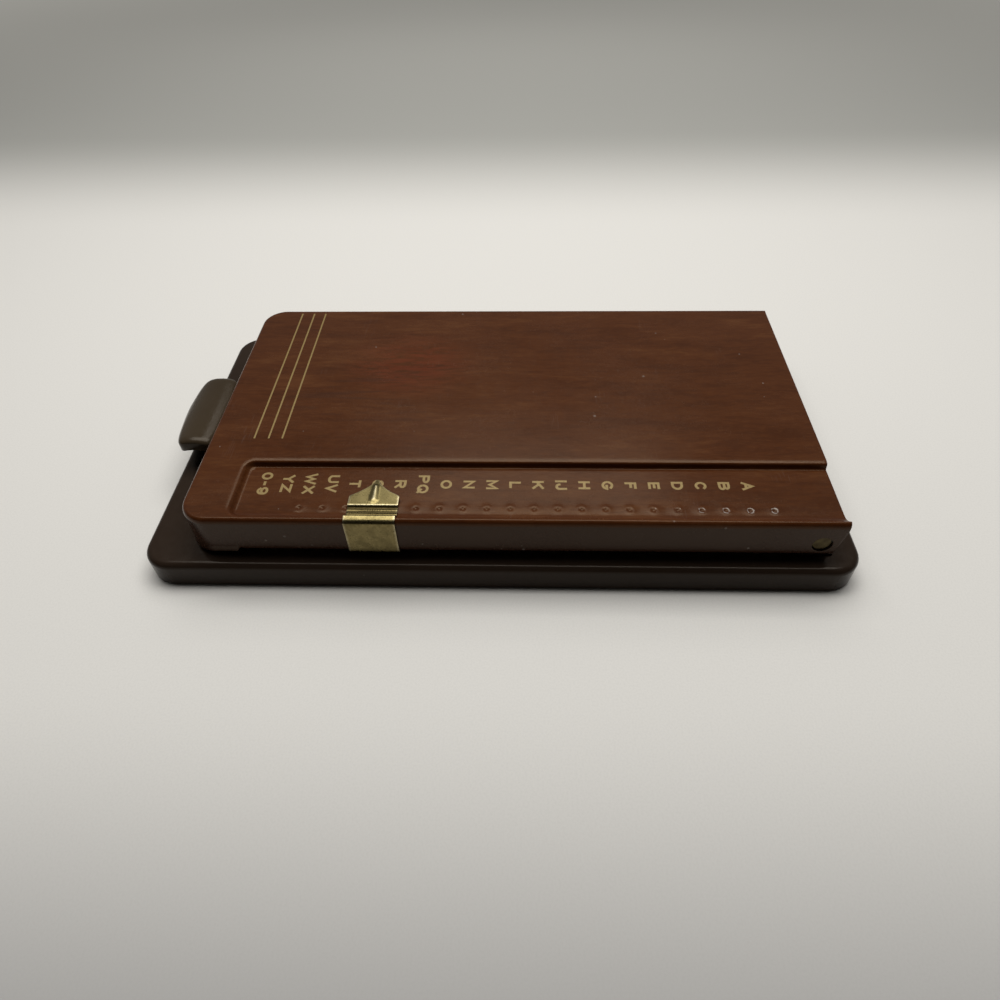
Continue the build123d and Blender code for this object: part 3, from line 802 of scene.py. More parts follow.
@dataclass(frozen=True)
class Hardboard(Finish):
    """Pressed fibre board with short dark and pale fibres."""

    dark: Colour = (0.070, 0.040, 0.022)
    pale: Colour = (0.17, 0.11, 0.065)
    fibres: Triple = (1300.0, 2100.0, 1300.0)   # repeats per metre
    roughness: float = 0.78
    relief: float = 0.00006                     # of the fibres, in metres

    def write(self, net: Coat) -> None:
        """Lay short stirred fibres over slow stains.

        Args:
            net: writer of the material's nodes.
        """
        fibre = net.noise(net.mapped(net.point, self.fibres), detail=4.0, roughness=0.7,
                          distortion=1.6)
        slow, _ = net.spread(net.effects.mottle)
        colour = net.mix(net.span(fibre, 0.35, 0.65), self.dark, self.pale)
        net.lay({"Base Color": net.mix(net.times(slow, 0.35), colour, self.dark),
                 "Roughness": self.roughness,
                 "Normal": net.bump(fibre, self.relief)})


@dataclass(frozen=True)
class Rubber(Finish):
    """Black rubber greyed by dust, with a moulded grain."""

    colour: Colour = (0.016, 0.015, 0.014)
    dust: Colour = (0.10, 0.095, 0.085)
    roughness: float = 0.66
    relief: float = 0.00005             # of the grain, in metres

    def write(self, net: Coat) -> None:
        """Dust the rubber in clouds and grain its skin.

        Args:
            net: writer of the material's nodes.
        """
        _, fine = net.spread(net.effects.mottle)
        grain = net.cloud(net.point, fineness=2400.0, detail=2.0)
        net.lay({"Base Color": net.mix(net.times(fine, 0.22), self.colour, self.dust),
                 "Roughness": self.roughness,
                 "Normal": net.bump(grain, self.relief)})


@dataclass(frozen=True)
class Print(Finish):
    """Printed ink or gold paint: grainy, thin in places and slightly worn through."""

    colour: Colour = (0.235, 0.158, 0.047)
    worn: Colour = (0.135, 0.082, 0.031)
    metal: float = 0.25
    roughness: float = 0.42
    relief: float = 0.00001             # of the paint's grain, in metres

    def write(self, net: Coat) -> None:
        """Thin the paint in fine clouds and roughen it.

        Args:
            net: writer of the material's nodes.
        """
        grain = net.cloud(net.point, fineness=1500.0, detail=3.0, roughness=0.65)
        thin = net.span(grain, 0.50, 0.72)
        net.lay({"Base Color": net.mix(net.times(thin, 0.7), self.colour, self.worn),
                 "Metallic": self.metal,
                 "Roughness": net.plus(net.times(thin, 0.2), self.roughness),
                 "Normal": net.bump(grain, self.relief)})


@dataclass(frozen=True)
class Paper(Finish):
    """Matt pale ground: a painted pool of light round the object, painted fall-off and shadow
    beyond it, fading into the backdrop.
    """

    pale: Colour = (0.696, 0.674, 0.634)
    # painted fall-off of the light behind the object and far off
    falloff_behind: Colour = (0.358, 0.351, 0.324)
    falloff_behind_at: tuple[float, float] = (-0.195, -0.350)   # where it begins and is reached, along X
    falloff_far: Colour = (0.450, 0.440, 0.405)
    falloff_far_at: tuple[float, float] = (-0.36, -0.65)
    # painted shadow and fall-off towards the camera
    ahead: Colour = (0.33, 0.321, 0.312)
    ahead_at: tuple[float, float] = (0.100, 0.230)
    backdrop: Colour = (0.315, 0.306, 0.278)
    fade_from: float = 0.50             # where the backdrop begins and where it is alone,
    fade_to: float = 1.10               # in metres from the object
    roughness: float = 0.85
    shine: float = 0.2

    def write(self, net: Coat) -> None:
        """Paint light fall-off and shadow along X, give the paper a faint tooth and fade it into
        the backdrop.

        Args:
            net: writer of the material's nodes.
        """
        depth, _, _ = net.split(net.point)
        # paint the light's fall-off and shadow along X
        colour = self.pale
        for shade_colour, place in ((self.falloff_behind, self.falloff_behind_at), (self.falloff_far, self.falloff_far_at),
                            (self.ahead, self.ahead_at)):
            colour = net.mix(net.span(depth, *place), colour, shade_colour)
        tooth = net.cloud(net.point, fineness=1500.0, detail=3.0)
        colour = net.mix(net.times(net.span(tooth, 0.35, 0.75), 0.08), colour,
                         tuple(part * 0.86 for part in self.falloff_behind))
        fade = net.times(net.add("LightPath").outputs["Is Camera Ray"],
                         net.span(net.length(net.point), self.fade_from, self.fade_to))
        net.lay({"Base Color": net.mix(fade, colour, (0.0, 0.0, 0.0)),
                 "Emission Strength": fade,
                 "Emission Color": shade(self.backdrop),
                 "Roughness": self.roughness,
                 "Specular IOR Level": self.shine})


@dataclass
class Finishes:
    """Every material of the part, built once."""

    effects: Effects

    def __post_init__(self) -> None:
        """Build the materials by slot, and the prints and the ground beside them."""
        make = {
            Slot.WALNUT: WalnutPrint("walnut_print"),
            Slot.ENAMEL: Enamel("brown_enamel"),
            Slot.BRASS: Brass("brass"),
            Slot.PLATED: Plated("plated_steel"),
            Slot.SPRING: Plated("spring_steel", (0.20, 0.19, 0.18), (0.09, 0.085, 0.08), 0.33),
            Slot.CARD: CardStock("index_card"),
            Slot.BOARD: Hardboard("hardboard"),
            Slot.RUBBER: Rubber("rubber"),
        }
        self.by_slot = {slot: finish.make(self.effects) for slot, finish in make.items()}
        self.gold = Print("gold_print").make(self.effects)
        self.ink = Print("card_ink", (0.05, 0.035, 0.03), (0.22, 0.17, 0.13), 0.0, 0.6).make(
            self.effects)
        self.lever = Enamel("lever_enamel", (0.034, 0.0235, 0.0135), roughness=0.15,
                            shine=0.16).make(self.effects)
        self.bronze = Brass("dark_bronze", (0.085, 0.066, 0.030), (0.055, 0.040, 0.020),
                            (0.03, 0.02, 0.012), roughness=0.36).make(self.effects)
        self.ground = Paper("ground_paper").make(self.effects)


# ---- surfaces worked out with numpy ----
def ease(value: np.ndarray) -> np.ndarray:
    """Smooth step: 3 t squared minus 2 t cubed, with t kept between 0 and 1."""
    t = np.clip(value, 0.0, 1.0)
    return t * t * (3.0 - 2.0 * t)


def bell(offset: np.ndarray, reach: float) -> np.ndarray:
    """A bell, exp(-(offset / reach)^2): 1 at no offset, and soon nothing beyond the reach."""
    return np.exp(-(offset / reach) ** 2)


def ruled(start: float, *spans: tuple[float, float]) -> np.ndarray:
    """Positions of grid lines.

    Args:
        start: the first line.
        spans: (end, spacing) pairs; the lines of a span are evenly spaced.

    Returns:
        The positions in order.
    """
    lines = [np.array([start])]
    for end, spacing in spans:
        count = max(1, round(abs(end - start) / spacing))
        lines.append(np.linspace(start, end, count + 1)[1:])
        start = end
    return np.concatenate(lines)


def grid_quads(index: np.ndarray) -> np.ndarray:
    """Quads between neighbours of a table of vertex numbers, one row of four per quad."""
    a, b, c, d = index[:-1, :-1], index[:-1, 1:], index[1:, 1:], index[1:, :-1]
    return np.stack([a, b, c, d], axis=-1).reshape(-1, 4)


def soft_path(corners: Sequence[Triple], spacing: float, steps: int = 6) -> np.ndarray:
    """A bent strip's line, rounded at its corners.

    Each corner with a reach r gives way to the parabola that touches both of its sides at
    distance r: (1-s)^2 A + 2s(1-s) P + s^2 B. Straight runs are then divided evenly.

    Args:
        corners: (x, z, reach) of each corner, in millimetres.
        spacing: longest step left on the line.
        steps: steps round each corner.

    Returns:
        Points of the line, one row of (x, z) each.
    """
    at = np.array([corner[:2] for corner in corners], float)
    points = [at[:1]]
    s = np.linspace(0.0, 1.0, steps + 1)[:, None]
    for before, here, after, (_, _, reach) in zip(at[:-2], at[1:-1], at[2:], corners[1:-1]):
        a = here + (before - here) / np.linalg.norm(before - here) * reach
        b = here + (after - here) / np.linalg.norm(after - here) * reach
        points.append((1 - s) ** 2 * a + 2 * s * (1 - s) * here + s ** 2 * b)
    line = np.concatenate(points + [at[-1:]])
    length = np.linalg.norm(np.diff(line, axis=0), axis=1)
    parts = np.maximum(1, np.ceil(length / spacing)).astype(int)
    stations = np.concatenate([np.arange(n) / n + i for i, n in enumerate(parts)]
                              + [[len(parts)]])
    places = np.arange(len(line))
    return np.stack([np.interp(stations, places, line[:, 0]),
                     np.interp(stations, places, line[:, 1])], axis=1)


def wind(line: np.ndarray, outward: np.ndarray, wire: float, sides: int = 10) -> Pair:
    """Round wire carried along a line.

    The section is w (cos a N + sin a B): T is the line's direction, B is T x outward and N is
    B x T, all of unit length. Quads across the section close each end.

    Args:
        line: points of the wire's middle line, in millimetres.
        outward: a direction off the line at each point.
        wire: w, the wire's radius.
        sides: points round the wire.

    Returns:
        Points in millimetres, and quads.
    """
    along = np.gradient(line, axis=0)
    along /= np.linalg.norm(along, axis=1)[:, None]
    side = np.cross(along, outward)
    side /= np.linalg.norm(side, axis=1)[:, None]
    over = np.cross(side, along)
    turn = np.linspace(0.0, 2 * math.pi, sides + 1)[:-1][None, :, None]
    section = np.cos(turn) * over[:, None] + np.sin(turn) * side[:, None]
    points = (line[:, None] + wire * section).reshape(-1, 3)
    index = np.arange(len(points)).reshape(len(line), sides)
    tube = grid_quads(np.hstack([index, index[:, :1]]))
    strip = np.arange(sides // 2 - 1)
    end = np.column_stack([strip, strip + 1, sides - 2 - strip, sides - 1 - strip])
    return points, np.concatenate([tube, end[:, ::-1], end + index[-1, 0]])


def coil_turns(number: float) -> np.ndarray:
    """Angles along a coil of that many turns, in radians from its start."""
    steps = 28                      # in one turn
    return np.linspace(0.0, 2 * math.pi * number, int(steps * number) + 1)


def as_mesh(name: str, points: np.ndarray, faces: np.ndarray,
            marks: dict[str, np.ndarray] | None = None) -> Item:
    """A smooth mesh object at the origin.

    Args:
        name: the object's name.
        points: vertices in millimetres, one row each.
        faces: vertex numbers, one row of three or four per face.
        marks: named values, one per vertex, for the shader.

    Returns:
        The object, linked to the scene.
    """
    mesh = bpy.data.meshes.new(name)
    mesh.from_pydata((points * MM).tolist(), [], faces.tolist())
    mesh.polygons.foreach_set("use_smooth", np.ones(len(mesh.polygons), bool))
    for label, values in (marks or {}).items():
        layer = mesh.attributes.new(label, "FLOAT", "POINT")
        layer.data.foreach_set("value", values.astype(np.float32))
    mesh.update()
    item = bpy.data.objects.new(name, mesh)
    bpy.context.scene.collection.objects.link(item)
    return item


def thicken(item: Item, thickness: float, edge: float, inner: int = 0) -> None:
    """Give an outward-facing sheet its wall, inwards, and soften its cut edges.

    Args:
        item: the sheet.
        thickness: wall in millimetres.
        edge: rounding of the cut edges in millimetres.
        inner: how many material slots further the inner side and the cut edges use.
    """
    wall = item.modifiers.new("wall", "SOLIDIFY")
    wall.thickness = thickness * MM
    wall.offset = -1.0
    wall.use_even_offset = True
    wall.thickness_clamp = 0.0
    wall.material_offset = inner
    wall.material_offset_rim = inner
    soft = item.modifiers.new("soft_edges", "BEVEL")
    soft.width = edge * MM
    soft.segments = 2
    soft.limit_method = "ANGLE"
    soft.angle_limit = math.radians(55.0)       # a sharper turn counts as an edge


def finish_piece(item: Item, materials: Sequence[Material], body: Body | None,
                 replaced: Sequence[str] = ()) -> Item:
    """Dress a new piece and put it on its body.

    Args:
        item: the piece.
        materials: its materials, one per slot.
        body: the body it rides on, or None for a piece attached to no body.
        replaced: names of the nodes it stands for.

    Returns:
        The piece.
    """
    for material in materials:
        item.data.materials.append(material)
    if body is not None:
        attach(item, body.value)
    if replaced:
        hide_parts(*replaced)
    LOG.info("piece %s: %d faces on %s", item.name, len(item.data.polygons),
             body.value if body is not None else "two bodies")
    return item


def dress(names: Iterable[str], material: Material) -> None:
    """Give CAD nodes their material.

    Args:
        names: the nodes.
        material: what they are made of.
    """
    for name in names:
        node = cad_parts[name]
        if not node.material_slots:
            node.data.materials.append(material)
        for slot in node.material_slots:
            slot.material = material
        LOG.info("node %s: %s", name, material.name)


# ---- printed letters ----
Stroke = list[tuple[float, float]]


def arc(x: float, y: float, reach_x: float, reach_y: float, start: float, end: float) -> Stroke:
    """Points of an upright oval's arc.

    Args:
        x, y: the oval's middle.
        reach_x, reach_y: half its width and half its height.
        start, end: the arc's two angles, in degrees.

    Returns:
        The points, about one every 14 degrees.
    """
    steps = max(4, round(abs(end - start) / 14.0))
    turns = [math.radians(start + (end - start) * step / steps) for step in range(steps + 1)]
    return [(x + reach_x * math.cos(turn), y + reach_y * math.sin(turn)) for turn in turns]


@dataclass(frozen=True)
class Alphabet:
    """A plain stroke alphabet: centre lines in a unit box, and widths against a plain letter's."""

    weight: float = 0.230           # stroke, in parts of the letter's height
    gap: float = 0.17               # between two letters, in parts of a plain letter's width
    stagger: float = 0.004          # each stroke of a letter lies this much higher than the last
    widths: tuple[tuple[str, float], ...] = (("I", 0.22), ("J", 0.78), ("L", 0.80), ("E", 0.84),
                                             ("F", 0.80), ("M", 1.15), ("O", 1.10), ("Q", 1.10),
                                             ("G", 1.08), ("W", 1.40), ("-", 0.55), ("S", 0.92),
                                             ("T", 0.88))

    def strokes(self, letter: str) -> list[Stroke]:
        """The centre lines of one letter.

        Args:
            letter: a capital, 0, 9 or a dash.

        Returns:
            Its strokes, in a box from (0, 0) to (1, 1).
        """
        ring = arc(0.5, 0.5, 0.5, 0.5, 0, 360)
        bowl = [(0, 0), (0, 1)] + arc(0.52, 0.735, 0.48, 0.265, 90, -90) + [(0, 0.47)]
        shapes = {
            "A": [[(0, 0), (0.5, 1), (1, 0)], [(0.19, 0.32), (0.81, 0.32)]],
            "B": [[(0, 0.53), (0, 1)] + arc(0.50, 0.765, 0.42, 0.235, 90, -90) + [(0, 0.53)],
                  [(0, 0.53)] + arc(0.54, 0.265, 0.46, 0.265, 90, -90) + [(0, 0), (0, 0.53)]],
            "C": [arc(0.5, 0.5, 0.5, 0.5, 46, 314)],
            "D": [[(0, 0), (0, 1)] + arc(0.44, 0.5, 0.56, 0.5, 90, -90) + [(0, 0)]],
            "E": [[(1, 1), (0, 1), (0, 0), (1, 0)], [(0, 0.52), (0.85, 0.52)]],
            "F": [[(1, 1), (0, 1), (0, 0)], [(0, 0.50), (0.82, 0.50)]],
            "G": [arc(0.5, 0.5, 0.5, 0.5, 48, 350) + [(0.56, 0.42)]],
            "H": [[(0, 0), (0, 1)], [(1, 0), (1, 1)], [(0, 0.52), (1, 0.52)]],
            "I": [[(0.5, 0), (0.5, 1)]],
            "J": [[(1, 1)] + arc(0.5, 0.3, 0.5, 0.3, 0, -180)],
            "K": [[(0, 0), (0, 1)], [(1, 1), (0, 0.38)], [(0.36, 0.62), (1, 0)]],
            "L": [[(0, 1), (0, 0), (1, 0)]],
            "M": [[(0, 0), (0, 1), (0.5, 0.22), (1, 1), (1, 0)]],
            "N": [[(0, 0), (0, 1), (1, 0), (1, 1)]],
            "O": [ring],
            "P": [bowl],
            "Q": [ring, [(0.60, 0.27), (0.98, -0.03)]],
            "R": [bowl, [(0.48, 0.47), (1, 0)]],
            "S": [arc(0.5, 0.755, 0.46, 0.245, 25, 270)
                  + arc(0.5, 0.255, 0.5, 0.255, 90, -155)],
            "T": [[(0, 1), (1, 1)], [(0.5, 1), (0.5, 0)]],
            "U": [[(0, 1)] + arc(0.5, 0.32, 0.5, 0.32, 180, 360) + [(1, 1)]],
            "V": [[(0, 1), (0.5, 0), (1, 1)]],
            "W": [[(0, 1), (0.26, 0), (0.5, 0.85), (0.74, 0), (1, 1)]],
            "X": [[(0, 0), (1, 1)], [(0, 1), (1, 0)]],
            "Y": [[(0, 1), (0.5, 0.46), (1, 1)], [(0.5, 0.46), (0.5, 0)]],
            "Z": [[(0, 1), (1, 1), (0, 0), (1, 0)]],
            "0": [arc(0.5, 0.5, 0.46, 0.5, 0, 360)],
            "9": [arc(0.5, 0.69, 0.46, 0.31, 0, 360), arc(0.5, 0.5, 0.46, 0.5, 20, -140)],
            "-": [[(0.1, 0.47), (0.9, 0.47)]],
        }
        return shapes[letter]

    def ribbon(self, line: np.ndarray, weight: float) -> np.ndarray:
        """Both edges of a flat stroke.

        At each point the edges lie at half the weight over cos(half the turn) along the
        bisector's normal, which mitres the corners. An open stroke runs on by half its weight.

        Args:
            line: centre line, one row of (x, y) each; closed where its ends meet.
            weight: the stroke's width.

        Returns:
            A left and a right point for each point of the line.
        """
        closed = np.allclose(line[0], line[-1])
        line = line[np.append(True, np.linalg.norm(np.diff(line, axis=0), axis=1) > 1e-6)]
        run = np.diff(line, axis=0)
        run /= np.linalg.norm(run, axis=1, keepdims=True)
        before = np.vstack([run[-1:] if closed else run[:1], run])
        after = np.vstack([run, run[:1] if closed else run[-1:]])
        middle = (before + after) / np.linalg.norm(before + after, axis=1, keepdims=True)
        spread = weight / 2 / np.maximum((before * middle).sum(axis=1), 0.45)[:, None]
        if not closed:
            line = line.copy()
            line[0] -= run[0] * weight / 2
            line[-1] += run[-1] * weight / 2
        side = np.column_stack([-middle[:, 1], middle[:, 0]]) * spread
        return np.stack([line + side, line - side], axis=1)

    def write(self, words: str, height: float, single: float) -> list[np.ndarray]:
        """Ribbons of a whole label.

        Args:
            words: its letters.
            height: height of the letters.
            single: width of a plain letter.

        Returns:
            Points of each ribbon as rows of left and right (x, y, z), about the label's middle.
        """
        widths = [dict(self.widths).get(letter, 1.0) * single for letter in words]
        weight = self.weight * height
        left = -(sum(widths) + self.gap * single * (len(words) - 1)) / 2
        made = []
        for letter, width in zip(words, widths):
            inner = np.array([max(width - weight, 0.0), height - weight])
            corner = np.array([left + (width - inner[0]) / 2, (weight - height) / 2])
            for number, stroke in enumerate(self.strokes(letter)):
                edges = self.ribbon(corner + np.array(stroke) * inner, weight)
                level = np.full((*edges.shape[:2], 1), number * self.stagger)
                made.append(np.concatenate([edges, level], axis=2))
            left += width + self.gap * single
        return made


@dataclass(frozen=True)
class Label:
    """One printed label: its words, its middle, and its size, in millimetres."""

    words: str
    x: float
    y: float
    z: float
    height: float
    single: float


def lettering(name: str, labels: Sequence[Label], lift: float = 0.012,
              lay: Callable[[np.ndarray, np.ndarray], np.ndarray] | None = None) -> Item:
    """One mesh of flat printed labels that read with their tops towards +Y.

    Args:
        name: the object's name.
        labels: what to print and where.
        lift: height of the print over its ground.
        lay: height of an uneven ground by x and y, added to the labels' own.

    Returns:
        The object, linked to the scene.
    """
    points: list[np.ndarray] = []
    faces: list[np.ndarray] = []
    total = 0
    for label in labels:
        for edges in Alphabet().write(label.words, label.height, label.single):
            placed = edges + (label.x, label.y, label.z + lift)
            if lay is not None:
                placed[..., 2] += lay(placed[..., 0], placed[..., 1])
            index = total + np.arange(len(placed) * 2).reshape(-1, 2)
            points.append(placed.reshape(-1, 3))
            faces.append(grid_quads(index))
            total += index.size
    return as_mesh(name, np.concatenate(points), np.concatenate(faces))


# ---- the index ----
@dataclass(frozen=True)
class Index:
    """The stations of the index: their letters and places along the lid, in millimetres."""

    letters: tuple[str, ...] = ("A", "B", "C", "D", "E", "F", "G", "H", "IJ", "K", "L", "M", "N",
                                "O", "PQ", "R", "S", "T", "UV", "WX", "YZ", "0-9")
    first: float = 84.7
    pitch: float = 7.789
    chosen: int = 16                # the station that the pointer stands at, from 0

    def station(self, number: int) -> float:
        """Where station number lies along Y."""
        return self.first - number * self.pitch

    def labels(self, x: float, z: float, height: float, single: float) -> list[Label]:
        """The labels of all stations in one row.

        Args:
            x: middle of the row.
            z: surface that they are printed on.
            height: height of the letters.
            single: width of a plain letter.

        Returns:
            One label per station.
        """
        return [Label(words, x, self.station(number), z, height, single)
                for number, words in enumerate(self.letters)]


# ---- sub-assemblies ----
@dataclass(frozen=True)
class Wall:
    """Section of a channel wall: a soft shoulder, an arc, a slope and an arc on to the floor."""

    soft_r: float                   # radius of the shoulder,
    upper_r: float                  # of the arc below it,
    lower_r: float                  # and of the arc on to the floor
    lean: float                     # slope between the arcs, in degrees from level
    shoulder: float = 16.0          # slope at the end of the shoulder, in degrees

    def drop(self, inside: np.ndarray, depth: float) -> np.ndarray:
        """How far the surface lies below the lid's top.

        Args:
            inside: distance inside the channel's outline, where the shoulder ends.
            depth: how deep the channel is.

        Returns:
            The drop at each distance.
        """
        slope, start = math.radians(self.lean), math.radians(self.shoulder)
        lead, sag = self.soft_r * math.sin(start), self.soft_r * (1 - math.cos(start))
        run_up = self.upper_r * (math.sin(slope) - math.sin(start))
        run_low = self.lower_r * math.sin(slope)
        fall_up = sag + self.upper_r * (math.cos(start) - math.cos(slope))
        run = (depth - fall_up - self.lower_r * (1 - math.cos(slope))) / math.tan(slope)
        width = run_up + run + run_low
        over = self.upper_r * math.sin(start) + np.clip(inside, 0.0, run_up)
        foot = np.clip(width - inside, 0.0, run_low)
        first = self.soft_r - np.sqrt(self.soft_r ** 2 - np.clip(inside + lead, 0.0, lead) ** 2)
        upper = sag + self.upper_r * math.cos(start) - np.sqrt(self.upper_r ** 2 - over ** 2)
        middle = fall_up + (inside - run_up) * math.tan(slope)
        lower = depth - (self.lower_r - np.sqrt(self.lower_r ** 2 - foot ** 2))
        return np.where(inside < 0, first, np.where(
            inside < run_up, upper, np.where(inside < run_up + run, middle, lower)))


@dataclass
class Assembly:
    """A sub-assembly: its sizes in millimetres and the finishes that it is dressed in."""

    finishes: Finishes

    def coat(self, slot: Slot) -> Material:
        """The material of a slot."""
        return self.finishes.by_slot[slot]

    def build(self) -> None:
        """Build and dress its pieces."""
        raise NotImplementedError


@dataclass
class Lid(Assembly):
    """Pressed lid: rolled edges, sunk index channel with dimples, and the printed decoration."""

    index: Index
    half: float = 61.65
    front: float = -103.6
    back: float = 112.9
    top: float = 28.05
    sheet: float = 0.8
    edge: float = 0.12              # rounding of the sheet's cut edges
    corner_r: float = 9.5
    roll_far: float = 1.5           # how far in the rolled edge starts, far side and front
    roll_near: float = 1.25         # the same along the index side
    roll_depth: float = 2.3         # height of the rolled edge
    roll_bands: int = 8
    skirt: float = 14.0
    skirt_bands: tuple[float, ...] = (25.4, 24.0)       # heights above the squares
    deep_skirt: float = 12.8
    deep_from: float = -85.3        # where the skirt begins to deepen, and where it is deep
    deep_until: float = -86.7
    flare: float = 0.35             # how far the deep skirt's lip turns out
    channel_far: float = 33.5
    channel_near: float = 60.2      # crest of the bead along the index side
    channel_front: float = -87.6
    channel_depth: float = 2.5
    far_corner_r: float = 4.0       # rounding of the channel's outline in its two corners
    near_corner_r: float = 5.5
    far_wall: Wall = Wall(6.0, 0.75, 0.5, 78.0)
    near_wall: Wall = Wall(1.2, 0.55, 5.0, 48.0)
    front_wall: Wall = Wall(4.5, 1.3, 1.3, 60.0)
    dimple_x: float = 53.7
    dimple_first: float = 91.1
    dimples: int = 21
    swell: float = 0.42             # height and reach of a dimple's swelling
    swell_r: float = 1.7
    dent: float = 0.80              # depth and reach of the dent in it
    dent_r: float = 0.72
    ring_r: float = 1.05            # radius and reach of the rubbed ring round the dent
    ring_reach: float = 0.42
    ring_wear: float = 0.18         # wear of the rings at the front, what the hinge end adds,
    ring_wear_added: float = 0.62
    ring_worn_from: float = 20.0    # where that begins, and over what length it is reached
    ring_worn_over: float = 60.0
    bead_reach: float = 0.35
    bead_highlight: float = 0.16         # the same for the bead's crest: painted highlight all along it, wear added at the hinge end
    bead_wear_added: float = 0.3
    bead_worn_from: float = 98.0
    bead_worn_over: float = 14.0
    wave: float = 0.035             # height of the sheet's waves, and their lengths over 2 pi
    wave_x: float = 13.0
    wave_y: float = 19.0
    flat_edge: float = 2.0          # margin without waves, and over what width they begin
    flat_over: float = 6.0
    notch_half: float = 21.0
    notch_top: float = 22.5
    notch_r: float = 1.5
    pivot_y: float = 106.4
    pivot_z: float = 18.3
    pivot_hole_r: float = 3.3
    patch_from: float = 102.1       # the square of skirt round each pivot hole
    patch_to: float = 110.3
    patch_top: float = 22.6
    patch_cells: int = 8
    lean: float = 2.3               # how far the hinge end leans in at the bottom
    lean_from: float = 24.0         # where it begins to lean, and over what height it does
    lean_height: float = 12.0
    stripes: tuple[float, ...] = (-87.3, -82.1, -77.15)
    stripe_half: float = 0.31
    stripe_from: float = -58.7
    stripe_to: float = 22.4
    stripe_lift: float = 0.02
    letter_x: float = 42.5
    letter_height: float = 3.95
    letter_width: float = 3.75

    def columns(self) -> np.ndarray:
        """Grid lines across X, close together where the surface bends.

        Returns:
            Their positions in order.
        """
        notch = np.array([19.5, 20.1, 20.6, 20.95, 21.05])
        lines = ruled(-self.half + self.roll_far, (-52.15, 1.0), (30.8, 6.4), (33.2, 0.3),
                      (35.6, 0.16), (38.2, 0.4), (50.8, 1.6), (56.8, 0.4), (58.6, 0.3),
                      (self.half - self.roll_near, 0.16))
        return np.unique(np.concatenate([lines, notch, -notch]).round(4))

    def rows(self) -> np.ndarray:
        """Grid lines along Y, close together at the front wall and at each dimple.

        Returns:
            Their positions in order.
        """
        close = np.array([-3.9, -1.9, -1.3, -0.85, -0.4, 0.0, 0.4, 0.85, 1.3, 1.9])
        centres = self.dimple_first - self.index.pitch * np.arange(self.dimples)
        front = ruled(self.front + self.roll_far, (-94.1, 1.0), (-89.0, 1.2), (-80.6, 0.3),
                      (-70.0, 1.6))
        cell = (self.patch_to - self.patch_from) / self.patch_cells
        rear = ruled(95.0, (self.patch_from, 1.8), (self.patch_to, cell), (self.back, 0.87))
        return np.unique(np.concatenate([front, (centres[:, None] + close).ravel(), rear]).round(4))

    def in_plan(self, x: np.ndarray, y: np.ndarray, side_r: np.ndarray, front_r: float) -> Pair:
        """Round the front corners of the plan.

        Beyond the corner's centre a point of the square with parts p and q (0 to 1) goes to
        p sqrt(1 - q^2/2), q sqrt(1 - p^2/2), which turns the square's edge into an arc.

        Args:
            x, y: the grid's own positions.
            side_r, front_r: reach of the corner sideways and forwards.

        Returns:
            The rounded positions.
        """
        centre_x, centre_y = self.half - self.corner_r, self.front + self.corner_r
        base_x, base_y = np.clip(x, -centre_x, centre_x), np.maximum(y, centre_y)
        inset = np.where(x > 0, self.corner_r - self.roll_near, self.corner_r - self.roll_far)
        p = (x - base_x) / inset
        q = (base_y - y) / (self.corner_r - self.roll_far)
        return (base_x + p * np.sqrt(1 - q * q / 2) * side_r,
                base_y - q * np.sqrt(1 - p * p / 2) * front_r)

    def channel(self, x: np.ndarray, y: np.ndarray) -> np.ndarray:
        """Drop of the sunk channel: its side and front walls meet in rounded corners.

        Args:
            x, y: positions.

        Returns:
            How far the surface lies below the lid's top.
        """
        front = y - self.channel_front
        drops = []
        for side, radius, wall in ((x - self.channel_far, self.far_corner_r, self.far_wall),
                                   (self.channel_near - x, self.near_corner_r, self.near_wall)):
            a, b = np.clip(radius - side, 0.0, None), np.clip(radius - front, 0.0, None)
            inside = radius - np.hypot(a, b)
            share = ease(b / (a + b + 1e-9))
            drops.append((1 - share) * wall.drop(inside, self.channel_depth)
                         + share * self.front_wall.drop(inside, self.channel_depth))
        return np.minimum(*drops)

    def dimple(self, x: np.ndarray, y: np.ndarray) -> Pair:
        """Height and ring of the nearest dimple.

        A soft swelling of the floor with a dent punched into its middle. Both are bells over
        the distance from the dimple's centre, and so is the ring, over the distance from its
        radius.

        Args:
            x, y: positions.

        Returns:
            The height added, and a value that is 1 on the ring round the dent.
        """
        number = np.clip(np.round((self.dimple_first - y) / self.index.pitch), 0, self.dimples - 1)
        r = np.hypot(x - self.dimple_x, y - (self.dimple_first - number * self.index.pitch))
        height = self.swell * bell(r, self.swell_r) - self.dent * bell(r, self.dent_r)
        return height, bell(r - self.ring_r, self.ring_reach)

    def surface(self, x: np.ndarray, y: np.ndarray) -> Pair:
        """Height of the lid's upper side, how worn it is and its painted highlight along the bead.

        Top plane, less the channel, plus the dimples and a pressing's faint waves, which die
        away towards the edges.

        Args:
            x, y: positions.

        Returns:
            Heights and wear, both in arrays like x.
        """
        swell, ring = self.dimple(x, y)
        wave = self.wave * (np.sin(x / self.wave_x + 0.6) * np.sin(y / self.wave_y + 0.3) - 1.0)
        inner = (ease((self.half - np.abs(x) - self.flat_edge) / self.flat_over)
                 * ease((y - self.front - self.flat_edge) / self.flat_over))
        z = self.top - self.channel(x, y) + swell + wave * inner
        rings_worn = ease((y - self.ring_worn_from) / self.ring_worn_over)
        bead_worn = ease((y - self.bead_worn_from) / self.bead_worn_over)
        wear_and_highlight = ring * (self.ring_wear + self.ring_wear_added * rings_worn)
        # painted highlight along the bead's crest, with wear added towards the hinge end
        crest = bell(x - self.channel_near, self.bead_reach) * (
            self.bead_highlight + self.bead_wear_added * bead_worn)
        return z, np.maximum(wear_and_highlight, crest * (y > self.channel_front))

